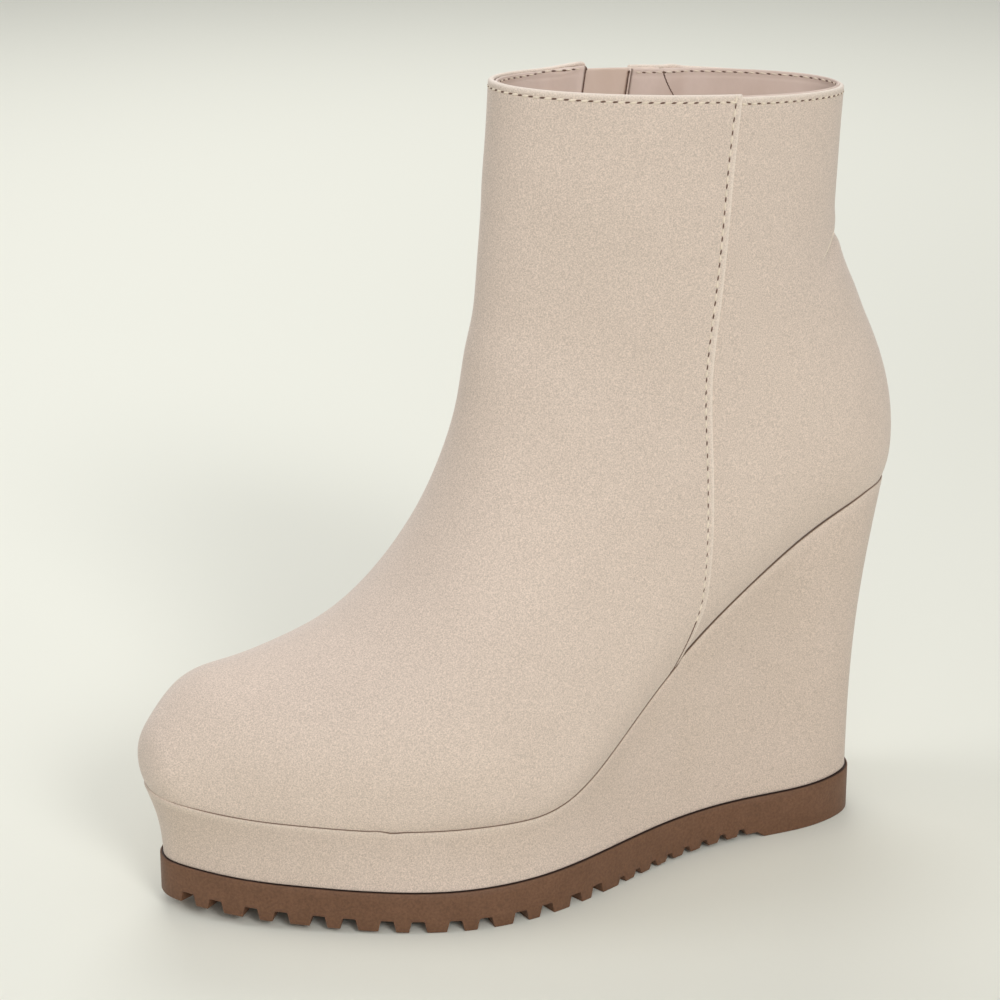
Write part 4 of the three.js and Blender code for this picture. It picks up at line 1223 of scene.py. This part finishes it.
def fold_line(shift, offset):
    """Edge of the sagging fold on the outer side, sinking into the leather at both ends."""
    angle = np.linspace(0.36, 0.92, 70)

    def under_fold(t):
        p = skin(t, angle)
        return p[:, 2] < fold_height(p[:, 1])

    t = halve(np.full_like(angle, 0.8), np.full_like(angle, 0.96), under_fold, 30)
    sunk = smooth((angle - 0.64) / 0.28) + smooth((0.47 - angle) / 0.09)
    return skin_at(t + shift, angle, REAR_FACE + offset - 0.2 * sunk)


def lining_row():
    """The same collar row where it comes through the lining, from window edge to window edge."""
    u = np.linspace(-float(zip_edge(one, window_rear)[0]) + 0.06,
                    2 * math.pi - float(zip_edge(one, window_front)[0]) - 0.05, 220)
    rise = ZIP_RISE * smooth(1 - (u[-1] - u) * 31 / 14)
    t = 1 + (COLLAR_RISE - 0.3 - 1.3 + rise) / mm_per_t(np.ones_like(u), u)
    return skin_at(t, u, lining_face(over_guard(skin(t, u))) + 0.12)


def patch_row():
    """Seam of the heel patch, curving down and back from the collar."""
    drop = np.linspace(1.4, 30, 120)
    z = COLLAR_HEIGHT - 3.2 - drop
    t, angle = on_side(zip_x(z) + 16.4 + 0.21 * drop ** 1.5, z, -1)
    return skin_at(t, angle, lining_face(over_guard(skin(t, angle))) + 0.05)


STITCHING = stitch_tree(THREAD, HOLE)
# beads close enough to run together along a fine crease: a dark line of painted shade in its depth, a
# pale line of painted highlight on its edge
DARK_LINE = {"Spacing": 0.0012, "Length": 0.0003, "Width": 0.0001, "Slit": 0.0018, "Slit Width": 0.0004}
PALE_LINE = {"Spacing": 0.0012, "Length": 0.0018, "Width": 0.0006, "Slit": 0.0003, "Slit Width": 0.0001}
for row_name, paths, row_sizes, row_slot in (
        ("collar_stitching", outer_rows, {}, "nubuck"),
        ("seam_stitching", seam_rows(), {"Spacing": 0.0037}, "nubuck"),
        ("crease_painted_shade", [seam_crease(), fold_line(0.0, -0.06)], DARK_LINE, "nubuck"),
        ("crease_painted_highlight", [fold_line(0.0016, -0.08)], PALE_LINE, "nubuck"),
        ("lining_stitching", [lining_row()], {"Width": 0.0006}, "guard_leather"),
        ("patch_seam", [patch_row()], DARK_LINE, "guard_leather")):
    place(grown(path_object(row_name, paths), STITCHING, row_sizes), "boot", row_slot)


def coil_paths():
    """Both rows of teeth, half a pitch apart."""
    z = np.linspace(SLOT_BOTTOM + 3.0, COLLAR_HEIGHT - 7.0, 160)
    return [row_on_side(zip_x(z) + sign * 1.15, z + 0.25 * COIL_PITCH * sign, -1, TEETH_TOP - 0.45)
            for sign in (-1, 1)]


place(grown(path_object("zip_coil", coil_paths()), coil_tree(COIL), {}), "boot", "zip_tape", ["zip"])


# Slider and pull tab
def eased_copy(node, name, width):
    """A copy of a hard CAD piece with its doubles merged and its edges rounded over."""
    sharp = math.radians(40)
    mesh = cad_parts[node].data.copy()
    mesh.name = name
    work = bmesh.new()
    work.from_mesh(mesh)
    bmesh.ops.remove_doubles(work, verts=work.verts, dist=1e-6)
    bmesh.ops.dissolve_limit(work, angle_limit=0.02, verts=work.verts, edges=work.edges)
    work.to_mesh(mesh)
    work.free()
    piece = in_scene(name, mesh)
    bevel = piece.modifiers.new("eased edges", "BEVEL")
    bevel.width = width
    bevel.segments = 3
    bevel.limit_method = "ANGLE"
    bevel.angle_limit = sharp
    mesh.shade_smooth()
    mesh.set_sharp_from_angle(angle=sharp)
    return piece


place(eased_copy("zip_slider", "slider_body", 0.0003), "boot", "slider_metal", ["zip_slider"], NICKEL)
place(eased_copy("zip_pull", "pull_tab", 0.0003), "pull", "slider_metal", ["zip_pull"], NICKEL)


# Studio
FLOOR_HALF = 6.0
floor_mesh = bpy.data.meshes.new("studio_floor")
corners = [(x * FLOOR_HALF, y * FLOOR_HALF, 0) for x, y in ((-1, -1), (1, -1), (1, 1), (-1, 1))]
floor_mesh.from_pydata(corners, [], [(0, 1, 2, 3)])
# matt backdrop paper
paper, _, paper_surface, _ = new_material("pale paper floor", 0.95, Specular_IOR_Level=0.1)
paper_surface["Base Color"].default_value = colour("#E9E9DE")
floor_mesh.materials.append(paper)
piece = in_scene("studio_floor", floor_mesh)


def aimed(name, data, stand, aim):
    """A lamp or camera at stand that looks at aim."""
    piece = in_scene(name, data)
    piece.location = stand
    piece.rotation_euler = (Vector(aim) - Vector(stand)).to_track_quat("-Z", "Y").to_euler()
    return piece


target = Vector(metres([108.0, 0.0, 112.0]))
azimuth, elevation, distance = math.radians(-28.4), math.radians(18.0), 0.780
back = Vector((math.sin(azimuth) * math.cos(elevation), -math.cos(azimuth) * math.cos(elevation),
               math.sin(elevation)))
camera_data = bpy.data.cameras.new("camera")
camera_data.lens = 96.9
camera_data.sensor_width = 36.0
bpy.context.scene.camera = aimed("camera", camera_data, target + back * distance, target)

for lamp_name, stand, aim, width, power, tint in (
        ("key", (-0.5, -1.5, 1.2), target, 1.5, 8, "#FFFFFF"),
        ("side", (-1.1, 0.6, 1.3), target, 0.8, 5.5, "#FBFBFF"),
        ("back", (0.5, 1.2, 1.3), (0.2, 0.4, 0.0), 1.2, 10.5, "#FFFFFF")):
    lamp = bpy.data.lights.new(lamp_name, "AREA")
    lamp.shape = "DISK"
    lamp.size = width
    lamp.energy = power
    lamp.color = colour(tint)[:3]
    aimed(lamp_name, lamp, stand, aim)
pool = bpy.data.lights.new("pool", "SPOT")
pool.energy = 80
pool.shadow_soft_size = 0.35
pool.spot_size = math.radians(22)
pool.spot_blend = 1.0
aimed("pool", pool, target + Vector((-0.05, -1.36, 0.78)), target)
world = bpy.data.worlds.new("studio")
world.use_nodes = True
sky = world.node_tree.nodes["Background"].inputs
sky["Color"].default_value = colour("#FFFFFF")
sky["Strength"].default_value = 0.46
bpy.context.scene.world = world
bpy.context.scene.view_settings.view_transform = "Standard"
